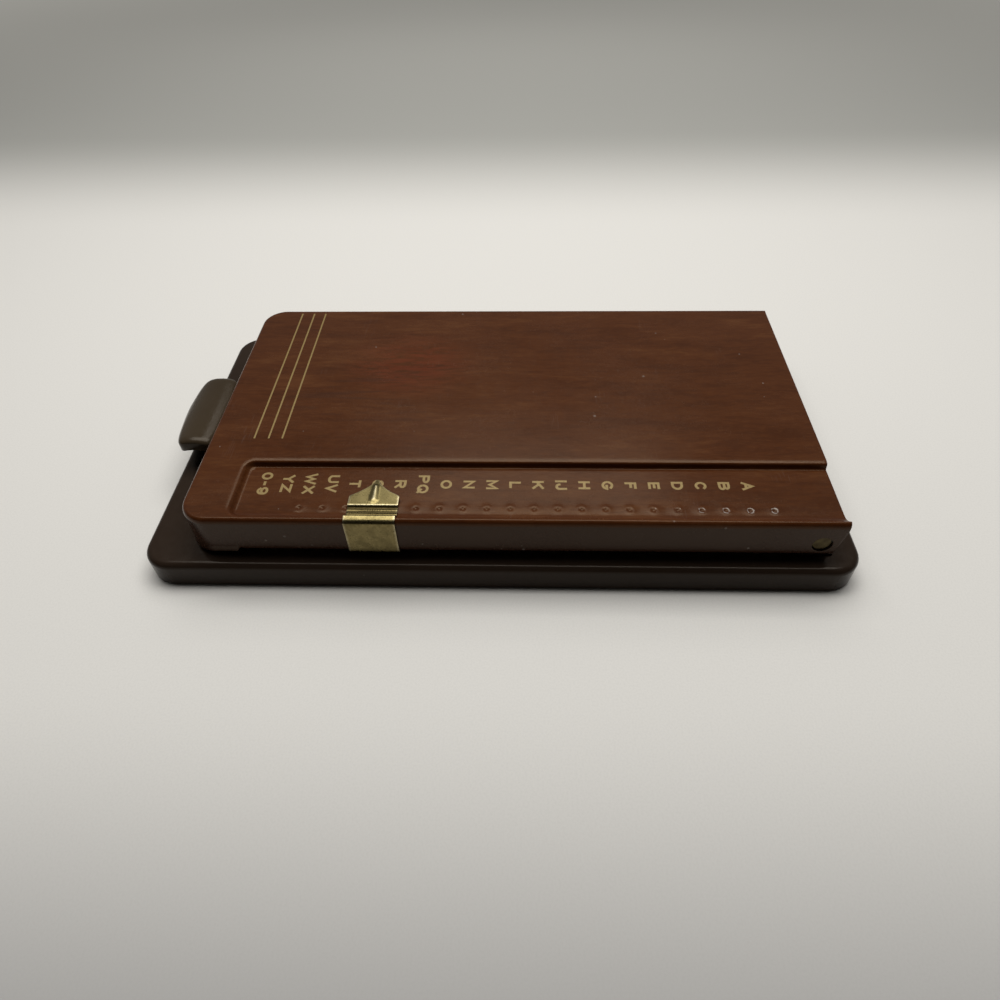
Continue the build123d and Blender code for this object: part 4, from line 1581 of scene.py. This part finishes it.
    def skirt_edge(self, x: np.ndarray, y: np.ndarray) -> Pair:
        """Lower edge of the skirt, notched in front.

        Args:
            x, y: places on the outline.

        Returns:
            Height of the edge, and how far its lip turns out.
        """
        deep = 1 - ease((y - self.deep_until) / (self.deep_from - self.deep_until))
        low = self.skirt + (self.deep_skirt - self.skirt) * deep
        over = np.clip(np.abs(x) - self.notch_half + self.notch_r, 0.0, self.notch_r)
        arch = self.notch_top - self.notch_r + np.sqrt(self.notch_r ** 2 - over ** 2)
        notched = (y < self.front + 1.0) & (np.abs(x) < self.notch_half)
        return np.where(notched, arch, low), np.where(notched, 0.0, self.flare * deep)

    def rim_bands(self, inner: np.ndarray, outer: np.ndarray) -> np.ndarray:
        """The rolled rim and the skirt below it.

        The rim is a quarter ellipse, r sin(t) outwards and h (1 - cos(t)) down. The skirt falls
        from it to its lower edge, and leans in at the hinge end.

        Args:
            inner: the upper side's edge, one row of (x, y, z) per point.
            outer: where those points lie in plan once the rim has rolled over.

        Returns:
            Bands of points, from the rim down to the skirt's edge.
        """
        bands = []
        for turn in np.linspace(0.0, math.pi / 2, self.roll_bands + 1)[1:]:
            plan = inner[:, :2] + (outer - inner[:, :2]) * math.sin(turn)
            height = inner[:, 2] - self.roll_depth * (1 - math.cos(turn))
            bands.append(np.column_stack([plan, height]))
        away = outer - inner[:, :2]
        away /= np.linalg.norm(away, axis=1, keepdims=True)
        low, flare = self.skirt_edge(outer[:, 0], outer[:, 1])
        rolled = self.top - self.roll_depth
        cells = np.linspace(self.patch_top, self.skirt, self.patch_cells + 1)
        levels = np.concatenate([self.skirt_bands, cells])
        for share in (rolled - levels) / (rolled - self.skirt):
            spread = (flare * ease((share - 0.93) / 0.07))[:, None]
            bands.append(np.column_stack([outer + away * spread, height + (low - height) * share]))
        strip = np.stack(bands)
        leaning = np.clip((self.lean_from - strip[..., 2]) / self.lean_height, 0.0, 1.0)
        end = self.back - self.lean * leaning
        squeeze = (end - self.patch_to) / (self.back - self.patch_to)
        late = strip[..., 1] > self.patch_to
        strip[..., 1] = np.where(late, self.patch_to + (strip[..., 1] - self.patch_to) * squeeze,
                                 strip[..., 1])
        return strip

    def hole_rings(self, points: np.ndarray, patch: np.ndarray) -> Pair:
        """Rings that pass in even steps from a square of the skirt to the pivot hole in it.

        Args:
            points: the skin's points so far.
            patch: table of the vertex numbers in the square.

        Returns:
            Points of the rings, and quads.
        """
        loop = np.concatenate([patch[0, :-1], patch[:-1, -1], patch[-1, :0:-1], patch[:0:-1, 0]])
        square = points[loop]
        spoke = square[:, 1:] - (self.pivot_y, self.pivot_z)
        circle = square.copy()
        circle[:, 1:] = (self.pivot_y, self.pivot_z) + spoke / np.linalg.norm(
            spoke, axis=1, keepdims=True) * self.pivot_hole_r
        shares = np.array([0.4, 0.75, 1.0])[:, None, None]
        rings = square + (circle - square) * shares
        number = len(points) + np.arange(len(loop) * len(shares)).reshape(len(shares), -1)
        table = np.vstack([loop[None], number])
        return rings.reshape(-1, 3), grid_quads(np.column_stack([table, table[:, 0]]).T)

    def shell(self) -> tuple[np.ndarray, np.ndarray, np.ndarray, np.ndarray]:
        """The lid's outer skin.

        The upper side is a height over a grid of x and y. Bands round three of its edges make
        the rolled rim and the skirt, and a square of the skirt round each pivot hole gives way
        to rings.

        Returns:
            Points, quads, wear with the bead's painted highlight per point, and a value that is 1
            where the print gives way to plain enamel.
        """
        grid_x, grid_y = np.meshgrid(self.columns(), self.rows())
        side_r = np.where(grid_x > 0, self.corner_r - self.roll_near, self.corner_r - self.roll_far)
        x, y = self.in_plan(grid_x, grid_y, side_r, self.corner_r - self.roll_far)
        out_x, out_y = self.in_plan(grid_x, grid_y, np.full_like(side_r, self.corner_r),
                                    self.corner_r)
        z, wear_and_highlight = self.surface(x, y)
        index = np.arange(x.size).reshape(x.shape)
        rim = np.concatenate([index[::-1, 0], index[0, 1:], index[1:, -1]])
        points = np.column_stack([x.ravel(), y.ravel(), z.ravel()])
        outer = np.column_stack([out_x.ravel()[rim], out_y.ravel()[rim]])
        strip = self.rim_bands(points[rim], outer)
        added = x.size + np.arange(strip.shape[0] * strip.shape[1]).reshape(strip.shape[:2])
        table = np.vstack([rim[None], added])
        points = np.concatenate([points, strip.reshape(-1, 3)])
        first = table.shape[0] - 1 - self.patch_cells
        keep = np.ones((table.shape[0] - 1, table.shape[1] - 1), bool)
        patches = []
        for side in (Side.LEFT, Side.RIGHT):
            found = np.flatnonzero((np.sign(outer[:, 0]) == side.sign)
                                   & (outer[:, 1] > self.patch_from - 0.01)
                                   & (outer[:, 1] < self.patch_to + 0.01))
            keep[first:, found[0]:found[-1]] = False
            patches.append(table[first:, found[0]:found[-1] + 1])
        bands = grid_quads(table.T).reshape(table.shape[1] - 1, -1, 4).transpose(1, 0, 2)
        quads = [grid_quads(index), bands[keep]]
        for patch in patches:
            rings, ring_quads = self.hole_rings(points, patch)
            points = np.concatenate([points, rings])
            quads.append(ring_quads)
        wear_and_highlight = np.concatenate([wear_and_highlight.ravel(), np.zeros(len(points) - wear_and_highlight.size)])
        skirt = np.ones(len(points))
        skirt[:x.size + (self.roll_bands - 1) * len(rim)] = 0.0
        return points, np.concatenate(quads), wear_and_highlight, skirt

    def pinstripes(self) -> Pair:
        """Gold lines across the main panel, each a thin ribbon that follows the surface.

        Returns:
            Points and quads.
        """
        along = np.linspace(self.stripe_from, self.stripe_to, 60)
        points, faces = [], []
        for number, middle in enumerate(self.stripes):
            x, y = np.meshgrid(along, [middle - self.stripe_half, middle + self.stripe_half])
            z = self.surface(x, y)[0] + self.stripe_lift
            points.append(np.column_stack([x.ravel(), y.ravel(), z.ravel()]))
            faces.append(grid_quads(np.arange(x.size).reshape(x.shape) + number * x.size))
        return np.concatenate(points), np.concatenate(faces)

    def build(self) -> None:
        """Build and dress the lid, its lines and letters."""
        points, quads, wear_and_highlight, skirt = self.shell()
        panel = as_mesh("lid_panel", points, quads, {"wear_and_highlight": wear_and_highlight, "skirt": skirt})
        thicken(panel, self.sheet, self.edge, inner=1)
        finish_piece(panel, [self.coat(Slot.WALNUT), self.coat(Slot.ENAMEL)], Body.LID,
                     ["lid_shell"])
        lines = as_mesh("lid_pinstripes", *self.pinstripes())
        finish_piece(lines, [self.finishes.gold], Body.LID)
        labels = self.index.labels(self.letter_x, 0.0, self.letter_height, self.letter_width)
        letters = lettering("lid_letters", labels, lay=lambda x, y: self.surface(x, y)[0])
        finish_piece(letters, [self.finishes.gold], Body.LID)
        dress(["lid_striker"], self.coat(Slot.PLATED))


@dataclass
class Pointer(Assembly):
    """Brass slide round the lid's edge, with its ribbed pointer above and its finger below."""

    station: float
    half: float = 8.375
    sheet: float = 0.45
    edge: float = 0.08
    tip_x: float = 41.6
    tip_half: float = 0.55
    tip_drop: float = 0.35
    nose_x: float = 44.4            # where the plate has come up to its height
    shoulder_x: float = 49.4
    flank_power: float = 1.8
    plate_z: float = 27.0
    plate_end: float = 53.6
    bends: tuple[Triple, ...] = (   # (x, z, reach) from the crimp over the rim to the side
        (54.15, 26.2, 0.2), (55.9, 26.24, 0.3), (56.35, 26.55, 0.2), (56.8, 26.2, 0.2),
        (57.5, 26.15, 0.25), (59.5, 28.66, 0.5), (61.4, 28.1, 0.5), (62.2, 27.3, 0.5))
    side_x: float = 62.3
    side_top: float = 26.0
    side_z: float = 24.0            # where the profile's steps grow longer
    low_z: float = 13.25
    finger_x: float = 56.3
    finger_half: float = 3.3
    finger_from: float = 60.6
    rib_from: float = 45.2
    rib_to: float = 51.0
    rib_half: float = 2.0
    rib_taper: float = 0.30         # how much narrower the rib is at its far end
    rib_height: float = 0.50
    bead_height: float = 0.15       # tiny beads in the crimp
    bead_pitch: float = 0.8
    crimp_x: float = 55.1
    crimp_z: float = 26.2
    creases: tuple[tuple[float, float], ...] = ((54.3, 0.3), (57.1, 0.4))   # (x, reach)
    hollow_from: float = 54.0       # the hollow between plate and rim, darkened with tarnish and painted shade
    hollow_to: float = 58.4
    hollow_low: float = 25.5
    hollow_top: float = 27.2
    lip_x: float = 53.45
    highlight_reach: float = 0.22         # width of the painted highlights on the lip and the cut edges

    def profile(self) -> np.ndarray:
        """The bent strip's outer line in x and z, from the pointer's tip to the finger's end.

        Returns:
            Points of the line, one row of (x, z) each.
        """
        plate, side, low = self.plate_z, self.side_x, self.low_z
        upper = soft_path([(self.tip_x, plate - self.tip_drop, 0.0), (self.nose_x, plate, 1.4),
                           (self.plate_end, plate, 0.55), *self.bends,
                           (side, self.side_top, 0.5), (side, self.side_z, 0.5)], 0.3)
        lower = soft_path([(side, self.side_z, 0.0), (side, low, 0.5),
                           (self.finger_from, low, 0.05), (self.finger_from - 0.15, low, 0.05),
                           (self.finger_x, low, 0.0)], 0.9)
        return np.concatenate([upper, lower[1:]])

    def width(self, x: np.ndarray, z: np.ndarray) -> np.ndarray:
        """Half width of the strip: hollow flanks to the tip, full at the clip, narrow below.

        Args:
            x, z: points of the profile.

        Returns:
            The half width at each.
        """
        reach = np.clip((x - self.tip_x) / (self.shoulder_x - self.tip_x), 0.0, 1.0)
        flank = self.tip_half + (self.half - self.tip_half) * reach ** self.flank_power
        finger = (z < self.low_z + 0.01) & (x < self.finger_from - 0.01)
        return np.where(finger, self.finger_half, flank)

    def skin(self) -> tuple[np.ndarray, np.ndarray, dict[str, np.ndarray]]:
        """The slide's outer skin.

        The profile carried along Y, with a rib h (1 - d^2)^2 pressed up round the segment
        between its ends, d being the distance from it over the rib's half width there, and a row
        of tiny beads in the crimp.

        Returns:
            Points, quads, and per point the creases' tarnish with painted shade, and the painted
            highlights.
        """
        x, z = self.profile().T
        width = self.width(x, z)
        share = ruled(-1.0, (-0.36, 0.09), (-0.2, 0.03), (0.2, 0.02), (0.36, 0.03), (1.0, 0.09))
        across = share[None, :] * width[:, None]
        plan_x = np.broadcast_to(x[:, None], across.shape)
        height = np.broadcast_to(z[:, None], across.shape).copy()
        reach = np.clip(plan_x, self.rib_from, self.rib_to)
        narrow = self.rib_taper * (self.rib_to - reach) / (self.rib_to - self.rib_from)
        away = np.hypot(plan_x - reach, across) / (self.rib_half * (1 - narrow))
        above = z[:, None] > self.plate_z - 0.5
        blade = (plan_x < self.plate_end) & above
        height += np.where(blade, self.rib_height * np.clip(1 - away ** 2, 0.0, 1.0) ** 2, 0.0)
        beads = self.bead_height * np.sin(across * math.pi / self.bead_pitch) ** 2
        height += beads * bell(plan_x - self.crimp_x, 0.4) * (np.abs(height - self.crimp_z) < 0.4)
        points = np.stack([plan_x, self.station + across, height], axis=-1)
        # the hollow and the creases: tarnish, and painted shade where they lie in shade
        hollow = ((plan_x > self.hollow_from) & (plan_x < self.hollow_to)
                  & (height > self.hollow_low) & (height < self.hollow_top))
        crease_tarnish_and_shade = np.maximum(*(bell(plan_x - middle, reach) for middle, reach in self.creases))
        crease_tarnish_and_shade = np.maximum(crease_tarnish_and_shade * (height > self.hollow_low), 0.80 * hollow)
        # painted highlights on the rib's crest, the plate's lip and the cut edges
        crest = 0.5 * bell(away, 0.24) * blade
        lip = 0.49 * bell(plan_x - self.lip_x, self.highlight_reach) * above
        edge = 0.45 * bell((1 - np.abs(share)) * width[:, None], self.highlight_reach)
        brightened = np.maximum.reduce([crest, lip, edge]) * (1 - crease_tarnish_and_shade)
        index = np.arange(across.size).reshape(across.shape)
        marks = {"crease_tarnish_and_shade": crease_tarnish_and_shade.ravel(), "brightened": brightened.ravel()}
        return points.reshape(-1, 3), grid_quads(index.T), marks

    def build(self) -> None:
        """Build and dress the slide."""
        clip = as_mesh("pointer_clip", *self.skin())
        thicken(clip, self.sheet, self.edge)
        finish_piece(clip, [self.coat(Slot.BRASS)], Body.POINTER, ["pointer_slide"])


@dataclass
class Base(Assembly):
    """Enamelled base with its bottom cover, feet, screws, rivets and the board under the cards."""

    enamelled: tuple[str, ...] = ("base_pan", "base_cover")
    boarded: tuple[str, ...] = ("card_bed",)
    rubbery: tuple[str, ...] = ("rubber_feet",)
    plated: tuple[str, ...] = ("cover_posts", "cover_screws", "base_rivets")

    def build(self) -> None:
        """Dress the base's parts."""
        dress(self.enamelled, self.coat(Slot.ENAMEL))
        dress(self.boarded, self.coat(Slot.BOARD))
        dress(self.rubbery, self.coat(Slot.RUBBER))
        dress(self.plated, self.coat(Slot.PLATED))


@dataclass
class Hinge(Assembly):
    """Brackets, pivot pins, torsion springs and the rings that the cards hang on."""

    pivot_y: float = 106.4
    pivot_z: float = 18.3
    coil_r: float = 3.2
    wire: float = 0.5
    turns: float = 7.5
    outer_x: float = 57.2           # the coil's end with the leg under the lid
    inner_x: float = 47.825         # its end with the leg on the base
    lid_leg: float = 16.0
    base_leg: float = 5.2

    def spring(self, side: Side) -> None:
        """Wind one torsion spring: a leg under the lid, a coil round the pin, a leg on the base.

        The coil is (x, R sin t, R cos t) about the pin, x going inwards evenly.

        Args:
            side: the side it is on.
        """
        node = f"hinge_spring_{side.value}"
        low, high = (np.array(corner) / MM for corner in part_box(node))
        turn = coil_turns(self.turns)
        outward = np.column_stack([np.zeros_like(turn), np.sin(turn), np.cos(turn)])
        coil = self.coil_r * outward + (0.0, self.pivot_y, self.pivot_z)
        coil[:, 0] = side.sign * np.linspace(self.outer_x, self.inner_x, len(turn))
        tip = np.array([coil[0, 0], self.pivot_y - self.lid_leg, high[2] - self.wire])
        foot = np.array([coil[-1, 0], self.pivot_y - self.base_leg, low[2] + self.wire])
        share = np.linspace(0.0, 1.0, 9)[:, None]
        line = np.concatenate([tip + (coil[0] - tip) * share[:-1], coil,
                               coil[-1] + (foot - coil[-1]) * share[1:]])
        outward = np.pad(outward, ((len(share) - 1, len(share) - 1), (0, 0)), mode="edge")
        item = as_mesh(f"hinge_coil_{side.value}", *wind(line, outward, self.wire))
        finish_piece(item, [self.coat(Slot.SPRING)], None, [node])
        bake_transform(item)

    def build(self) -> None:
        """Dress both sides of the hinge."""
        for side in Side:
            dress([f"hinge_bracket_{side.value}"], self.coat(Slot.ENAMEL))
            dress([f"card_ring_{side.value}"], self.coat(Slot.PLATED))
            dress([f"pivot_pin_{side.value}"], self.finishes.bronze)
            self.spring(side)
        dress(["ring_plate"], self.coat(Slot.PLATED))


@dataclass
class Release(Assembly):
    """The pressed lever in front with its crowned pad, its pin, brackets, hook and spring."""

    half: float = 19.5
    back: float = -105.4
    ends: float = -119.8
    tip_x: float = -3.0
    tip_y: float = -122.8
    tip_r: float = 2.0
    squareness: float = 6.0
    crown_y: float = -113.0
    crown_z: float = 23.9
    back_fall: float = 2.0
    front_fall: float = 3.4
    front_reach: float = 9.4
    crown_power: float = 2.2
    roll: float = 1.5               # reach of the rolled edge, front and back
    roll_ends: float = 3.0          # its reach at the two ends
    roll_drop: float = 1.5
    depth: float = 4.6
    points_round: int = 120         # points round the pad
    sheet: float = 0.8
    edge: float = 0.10
    neck_half: float = 14.8
    neck_top: float = 20.0
    neck_inset: float = 0.25        # how far it stands in front of the pad's back edge
    neck_z: float = 16.2
    pivot_y: float = -94.0
    pivot_z: float = 14.0
    barrel_r: float = 2.2
    barrel_from: float = 90.0       # the angles, in degrees, that the strip is rolled between
    barrel_to: float = -200.0
    spring_wire: float = 0.35
    spring_turns: float = 4.0
    spring_keep: float = 0.74       # share of its height left when the lever is down

    def square(self, count: int) -> np.ndarray:
        """Even points of the round-cornered square |p|^n + |q|^n = 1, from beside (-1, 0).

        Args:
            count: how many.

        Returns:
            One row of (p, q) per point.
        """
        turn = np.linspace(math.pi, 3 * math.pi, 2001)
        p = np.sign(np.cos(turn)) * np.abs(np.cos(turn)) ** (2 / self.squareness)
        q = np.sign(np.sin(turn)) * np.abs(np.sin(turn)) ** (2 / self.squareness)
        step = np.hypot(np.diff(p) * self.half, np.diff(q) * (self.back - self.ends) / 2)
        length = np.append(0.0, np.cumsum(step))
        wanted = (np.arange(count) + 0.5) / count * length[-1]
        return np.column_stack([np.interp(wanted, length, p), np.interp(wanted, length, q)])

    def in_plan(self, square: np.ndarray) -> np.ndarray:
        """Where points of the square lie on the pad: its front edge is two lines to a blunt tip.

        Args:
            square: one row of (p, q) per point.

        Returns:
            One row of (x, y) per point.
        """
        p, q = square.T
        x = self.half * p
        slope = (self.ends - self.tip_y) / self.half
        front = self.tip_y + slope * (np.hypot(x - self.tip_x, self.tip_r) - self.tip_r)
        reach = np.where(q < 0, self.crown_y - front, self.back - self.crown_y)
        return np.column_stack([x, self.crown_y + reach * q])

    def crown(self, y: np.ndarray) -> np.ndarray:
        """Height of the pad: its top less the fall times |y - top| over the reach, to a power.

        Args:
            y: places along the pad.

        Returns:
            The height at each.
        """
        ahead = y < self.crown_y
        reach = np.where(ahead, self.front_reach, self.back - self.crown_y)
        fall = np.where(ahead, self.front_fall, self.back_fall)
        return self.crown_z - fall * (np.abs(y - self.crown_y) / reach) ** self.crown_power

    def pad(self) -> Pair:
        """The pad's outer skin.

        Rings of a round-cornered square run inwards from the lower edge: up the side, over the
        rolled edge, which is a quarter ellipse, and on over the crown. The last ring's front
        and back are joined across.

        Returns:
            Points and quads.
        """
        count = self.points_round
        square = self.square(count)
        outer = self.in_plan(square)
        rings = [np.column_stack([outer, self.crown(outer[:, 1]) - self.depth])]
        width = (self.back - self.ends) / 2
        for turn in np.linspace(0.0, math.pi / 2, 9):
            inset = (1 - math.cos(turn)) * np.array([self.roll_ends / self.half, self.roll / width])
            plan = self.in_plan(square * (1 - inset))
            drop = self.roll_drop * (1 - math.sin(turn))
            rings.append(np.column_stack([plan, self.crown(plan[:, 1]) - drop]))
        inner = square * (1 - inset)
        for share in (0.12, 0.28, 0.45, 0.62, 0.78, 0.92):
            draw = np.column_stack([1 - 0.3 * share * (1 + np.abs(inner[:, 1])),
                                    np.full(count, 1 - share)])
            plan = self.in_plan(inner * draw)
            rings.append(np.column_stack([plan, self.crown(plan[:, 1])]))
        table = np.arange(len(rings) * count).reshape(len(rings), count)
        last = table[-1]
        across = np.stack([last[:count // 2], last[:count // 2 - 1:-1]], axis=1)
        quads = [grid_quads(np.column_stack([table, table[:, 0]])), grid_quads(across)[:, ::-1]]
        return np.concatenate(rings), np.concatenate(quads)

    def neck(self) -> Pair:
        """The bent strip from under the pad down and back, rolled round the lever's pin.

        Returns:
            Points and quads.
        """
        turns = np.radians(np.linspace(self.barrel_from, self.barrel_to, 24))
        rolled = np.column_stack([self.pivot_y + self.barrel_r * np.cos(turns),
                                  self.pivot_z + self.barrel_r * np.sin(turns)])
        front = self.back - self.neck_inset
        bent = soft_path([(front, self.neck_top, 0.0), (front, self.neck_z, 1.2),
                          (self.pivot_y - 0.3, self.neck_z, 0.0)], 2.5)
        line = np.concatenate([bent, rolled])
        across = np.linspace(-self.neck_half, self.neck_half, 13)
        x = np.broadcast_to(across[None, :], (len(line), len(across)))
        y = np.broadcast_to(line[:, :1], x.shape)
        z = np.broadcast_to(line[:, 1:], x.shape)
        points = np.stack([x, y, z], axis=-1).reshape(-1, 3)
        return points, grid_quads(np.arange(x.size).reshape(x.shape))[:, ::-1]

    def build(self) -> None:
        """Build the lever and dress it and what carries it."""
        pad, pad_quads = self.pad()
        neck, neck_quads = self.neck()
        lever = as_mesh("lever_pressing", np.concatenate([pad, neck]),
                        np.concatenate([pad_quads, neck_quads + len(pad)]))
        thicken(lever, self.sheet, self.edge)
        finish_piece(lever, [self.finishes.lever], Body.LEVER, ["release_lever"])
        dress(["lever_bracket_right", "lever_bracket_left", "lever_pin"], self.coat(Slot.PLATED))
        dress(["latch_hook"], self.coat(Slot.SPRING))
        self.spring()

    def spring(self) -> None:
        """Wind the lever's spring in its CAD box.

        The line is (R cos t, R sin t) about the box's middle, rising evenly.
        """
        low, high = (np.array(corner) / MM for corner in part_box("release_spring"))
        wire, turn = self.spring_wire, coil_turns(self.spring_turns)
        outward = np.column_stack([np.cos(turn), np.sin(turn), np.zeros_like(turn)])
        line = (low + high) / 2 + ((high[0] - low[0]) / 2 - wire) * outward
        line[:, 2] = np.linspace(low[2] + wire, high[2] - wire, len(turn))
        item = as_mesh("lifting_coil", *wind(line, outward, wire))
        finish_piece(item, [self.coat(Slot.SPRING)], Body.BASE, ["release_spring"])
        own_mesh(item)


@dataclass
class Cards(Assembly):
    """The index cards: ruled stock, each with its letters printed near its front corner."""

    index: Index
    letter_x: float = 47.5
    letter_y: float = -78.5
    letter_height: float = 5.0
    letter_width: float = 4.0

    def build(self) -> None:
        """Dress the cards and print their letters."""
        count = len(self.index.letters)
        names = [f"index_card_{number:02d}" for number in range(1, count + 1)]
        dress(names, self.coat(Slot.CARD))
        plain = self.index.labels(self.letter_x, 0.0, self.letter_height, self.letter_width)
        labels = []
        for name, label in zip(names, plain):
            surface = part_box(name)[1].z / MM
            labels.append(replace(label, y=self.letter_y, z=surface))
        for name, part, body in (("raised_card_letters", labels[:self.index.chosen], Body.CARDS),
                                 ("lower_card_letters", labels[self.index.chosen:], Body.BASE)):
            finish_piece(lettering(name, part), [self.finishes.ink], body)


# ---- studio ----
@dataclass(frozen=True)
class Lamp:
    """A soft rectangular lamp that points at the origin, measured in metres."""

    name: str
    place: Triple
    size: tuple[float, float]
    power: float                    # in watts
    colour: Colour = (1.0, 1.0, 0.99)

    def hang(self) -> None:
        """Put the lamp into the scene."""
        data = bpy.data.lights.new(self.name, "AREA")
        data.shape, data.size, data.size_y = "RECTANGLE", *self.size
        data.energy, data.color = self.power, self.colour
        item = bpy.data.objects.new(self.name, data)
        bpy.context.scene.collection.objects.link(item)
        turn = (-Vector(self.place)).to_track_quat("-Z", "Y")
        item.matrix_world = Matrix.Translation(self.place) @ turn.to_matrix().to_4x4()


@dataclass(frozen=True)
class Studio:
    """Camera, pale ground and soft lamps."""

    position: Triple = (0.210265, 0.009778, 0.197852)
    yaw: float = 2.7989             # degrees that the view turns off -X
    pitch: float = 46.9686
    roll: float = -1.65466
    lens: float = 25.545
    sensor: float = 36.0
    ground_radius: float = 3.0
    ground_rings: int = 8
    ground_spokes: int = 64
    air: Colour = (0.260, 0.258, 0.250)     # the tent's light from behind and from the sides
    dusk: Colour = (0.014, 0.013, 0.012)    # and from the camera's side
    dusk_from: float = -0.30                # where the one gives way to the other, along X
    dusk_to: float = 0.35
    lamps: tuple[Lamp, ...] = (
        Lamp("overhead_softbox", (-0.17, 0.0, 0.77), (0.95, 0.42), 6.7),
        Lamp("far_panel", (-0.43, 0.015, 0.63), (0.38, 0.24), 0.78))

    def camera(self) -> None:
        """Aim the camera: forward from yaw and pitch, then turned by its roll."""
        yaw, pitch, roll = map(math.radians, (self.yaw, self.pitch, self.roll))
        forward = Vector((-math.cos(yaw) * math.cos(pitch), -math.sin(yaw) * math.cos(pitch),
                          -math.sin(pitch)))
        right = forward.cross(Vector((0.0, 0.0, 1.0))).normalized()
        up = right.cross(forward)
        turned = right * math.cos(roll) + up * math.sin(roll)
        upright = up * math.cos(roll) - right * math.sin(roll)
        data = bpy.data.cameras.new("camera")
        data.lens, data.sensor_width, data.clip_start = self.lens, self.sensor, 0.005
        item = bpy.data.objects.new("camera", data)
        bpy.context.scene.collection.objects.link(item)
        turn = Matrix((turned, upright, -forward)).transposed()
        item.matrix_world = Matrix.Translation(self.position) @ turn.to_4x4()
        bpy.context.scene.camera = item

    def ground(self, finishes: Finishes) -> None:
        """Lay the ground: a disc of rings about the origin, at height 0.

        Args:
            finishes: the part's materials.
        """
        reach = np.linspace(0.0, 1.0, self.ground_rings + 1)[1:] * self.ground_radius / MM
        turn = np.linspace(0.0, 2 * math.pi, self.ground_spokes + 1)[:-1]
        radius, angle = np.meshgrid(reach, turn)
        ring_points = np.stack([radius * np.cos(angle), radius * np.sin(angle),
                                np.zeros_like(radius)], axis=-1).reshape(-1, 3)
        index = np.arange(radius.size).reshape(radius.shape)
        rings = grid_quads(np.vstack([index, index[:1]]))[:, ::-1]
        first = index[:, 0]
        middle = np.column_stack([first, np.roll(first, -1), np.full_like(first, radius.size)])
        points = np.vstack([ring_points, np.zeros(3)])
        mesh = bpy.data.meshes.new("ground")
        mesh.from_pydata((points * MM).tolist(), [], rings.tolist() + middle.tolist())
        mesh.materials.append(finishes.ground)
        item = bpy.data.objects.new("ground", mesh)
        bpy.context.scene.collection.objects.link(item)

    def build(self, finishes: Finishes) -> None:
        """Set the camera, the ground, the lamps and the air's light.

        Args:
            finishes: the part's materials.
        """
        self.camera()
        self.ground(finishes)
        for lamp in self.lamps:
            lamp.hang()
        world = bpy.data.worlds.new("air")
        world.use_nodes = True
        net = Net(world.node_tree)
        towards = net.split(net.add("TexCoord").outputs["Generated"])[0]
        sky = world.node_tree.nodes["Background"]
        tent = net.mix(net.span(towards, self.dusk_from, self.dusk_to), self.air, self.dusk)
        seen = net.add("LightPath").outputs["Is Camera Ray"]
        net.feed(sky.inputs["Color"], net.mix(seen, tent, Paper.backdrop))
        sky.inputs["Strength"].default_value = 1.0
        bpy.context.scene.world = world
        bpy.context.scene.view_settings.view_transform = "Standard"


def main() -> None:
    """Build every sub-assembly in order and report each piece."""
    logging.basicConfig(level=logging.INFO, format="%(name)s %(message)s")
    finishes = Finishes(Effects.make())
    index = Index()
    Studio().build(finishes)
    for assembly in (Base(finishes), Hinge(finishes), Release(finishes), Cards(finishes, index),
                     Lid(finishes, index), Pointer(finishes, index.station(index.chosen))):
        assembly.build()
        LOG.info("built %s", type(assembly).__name__)


if __name__ == "__main__":
    main()
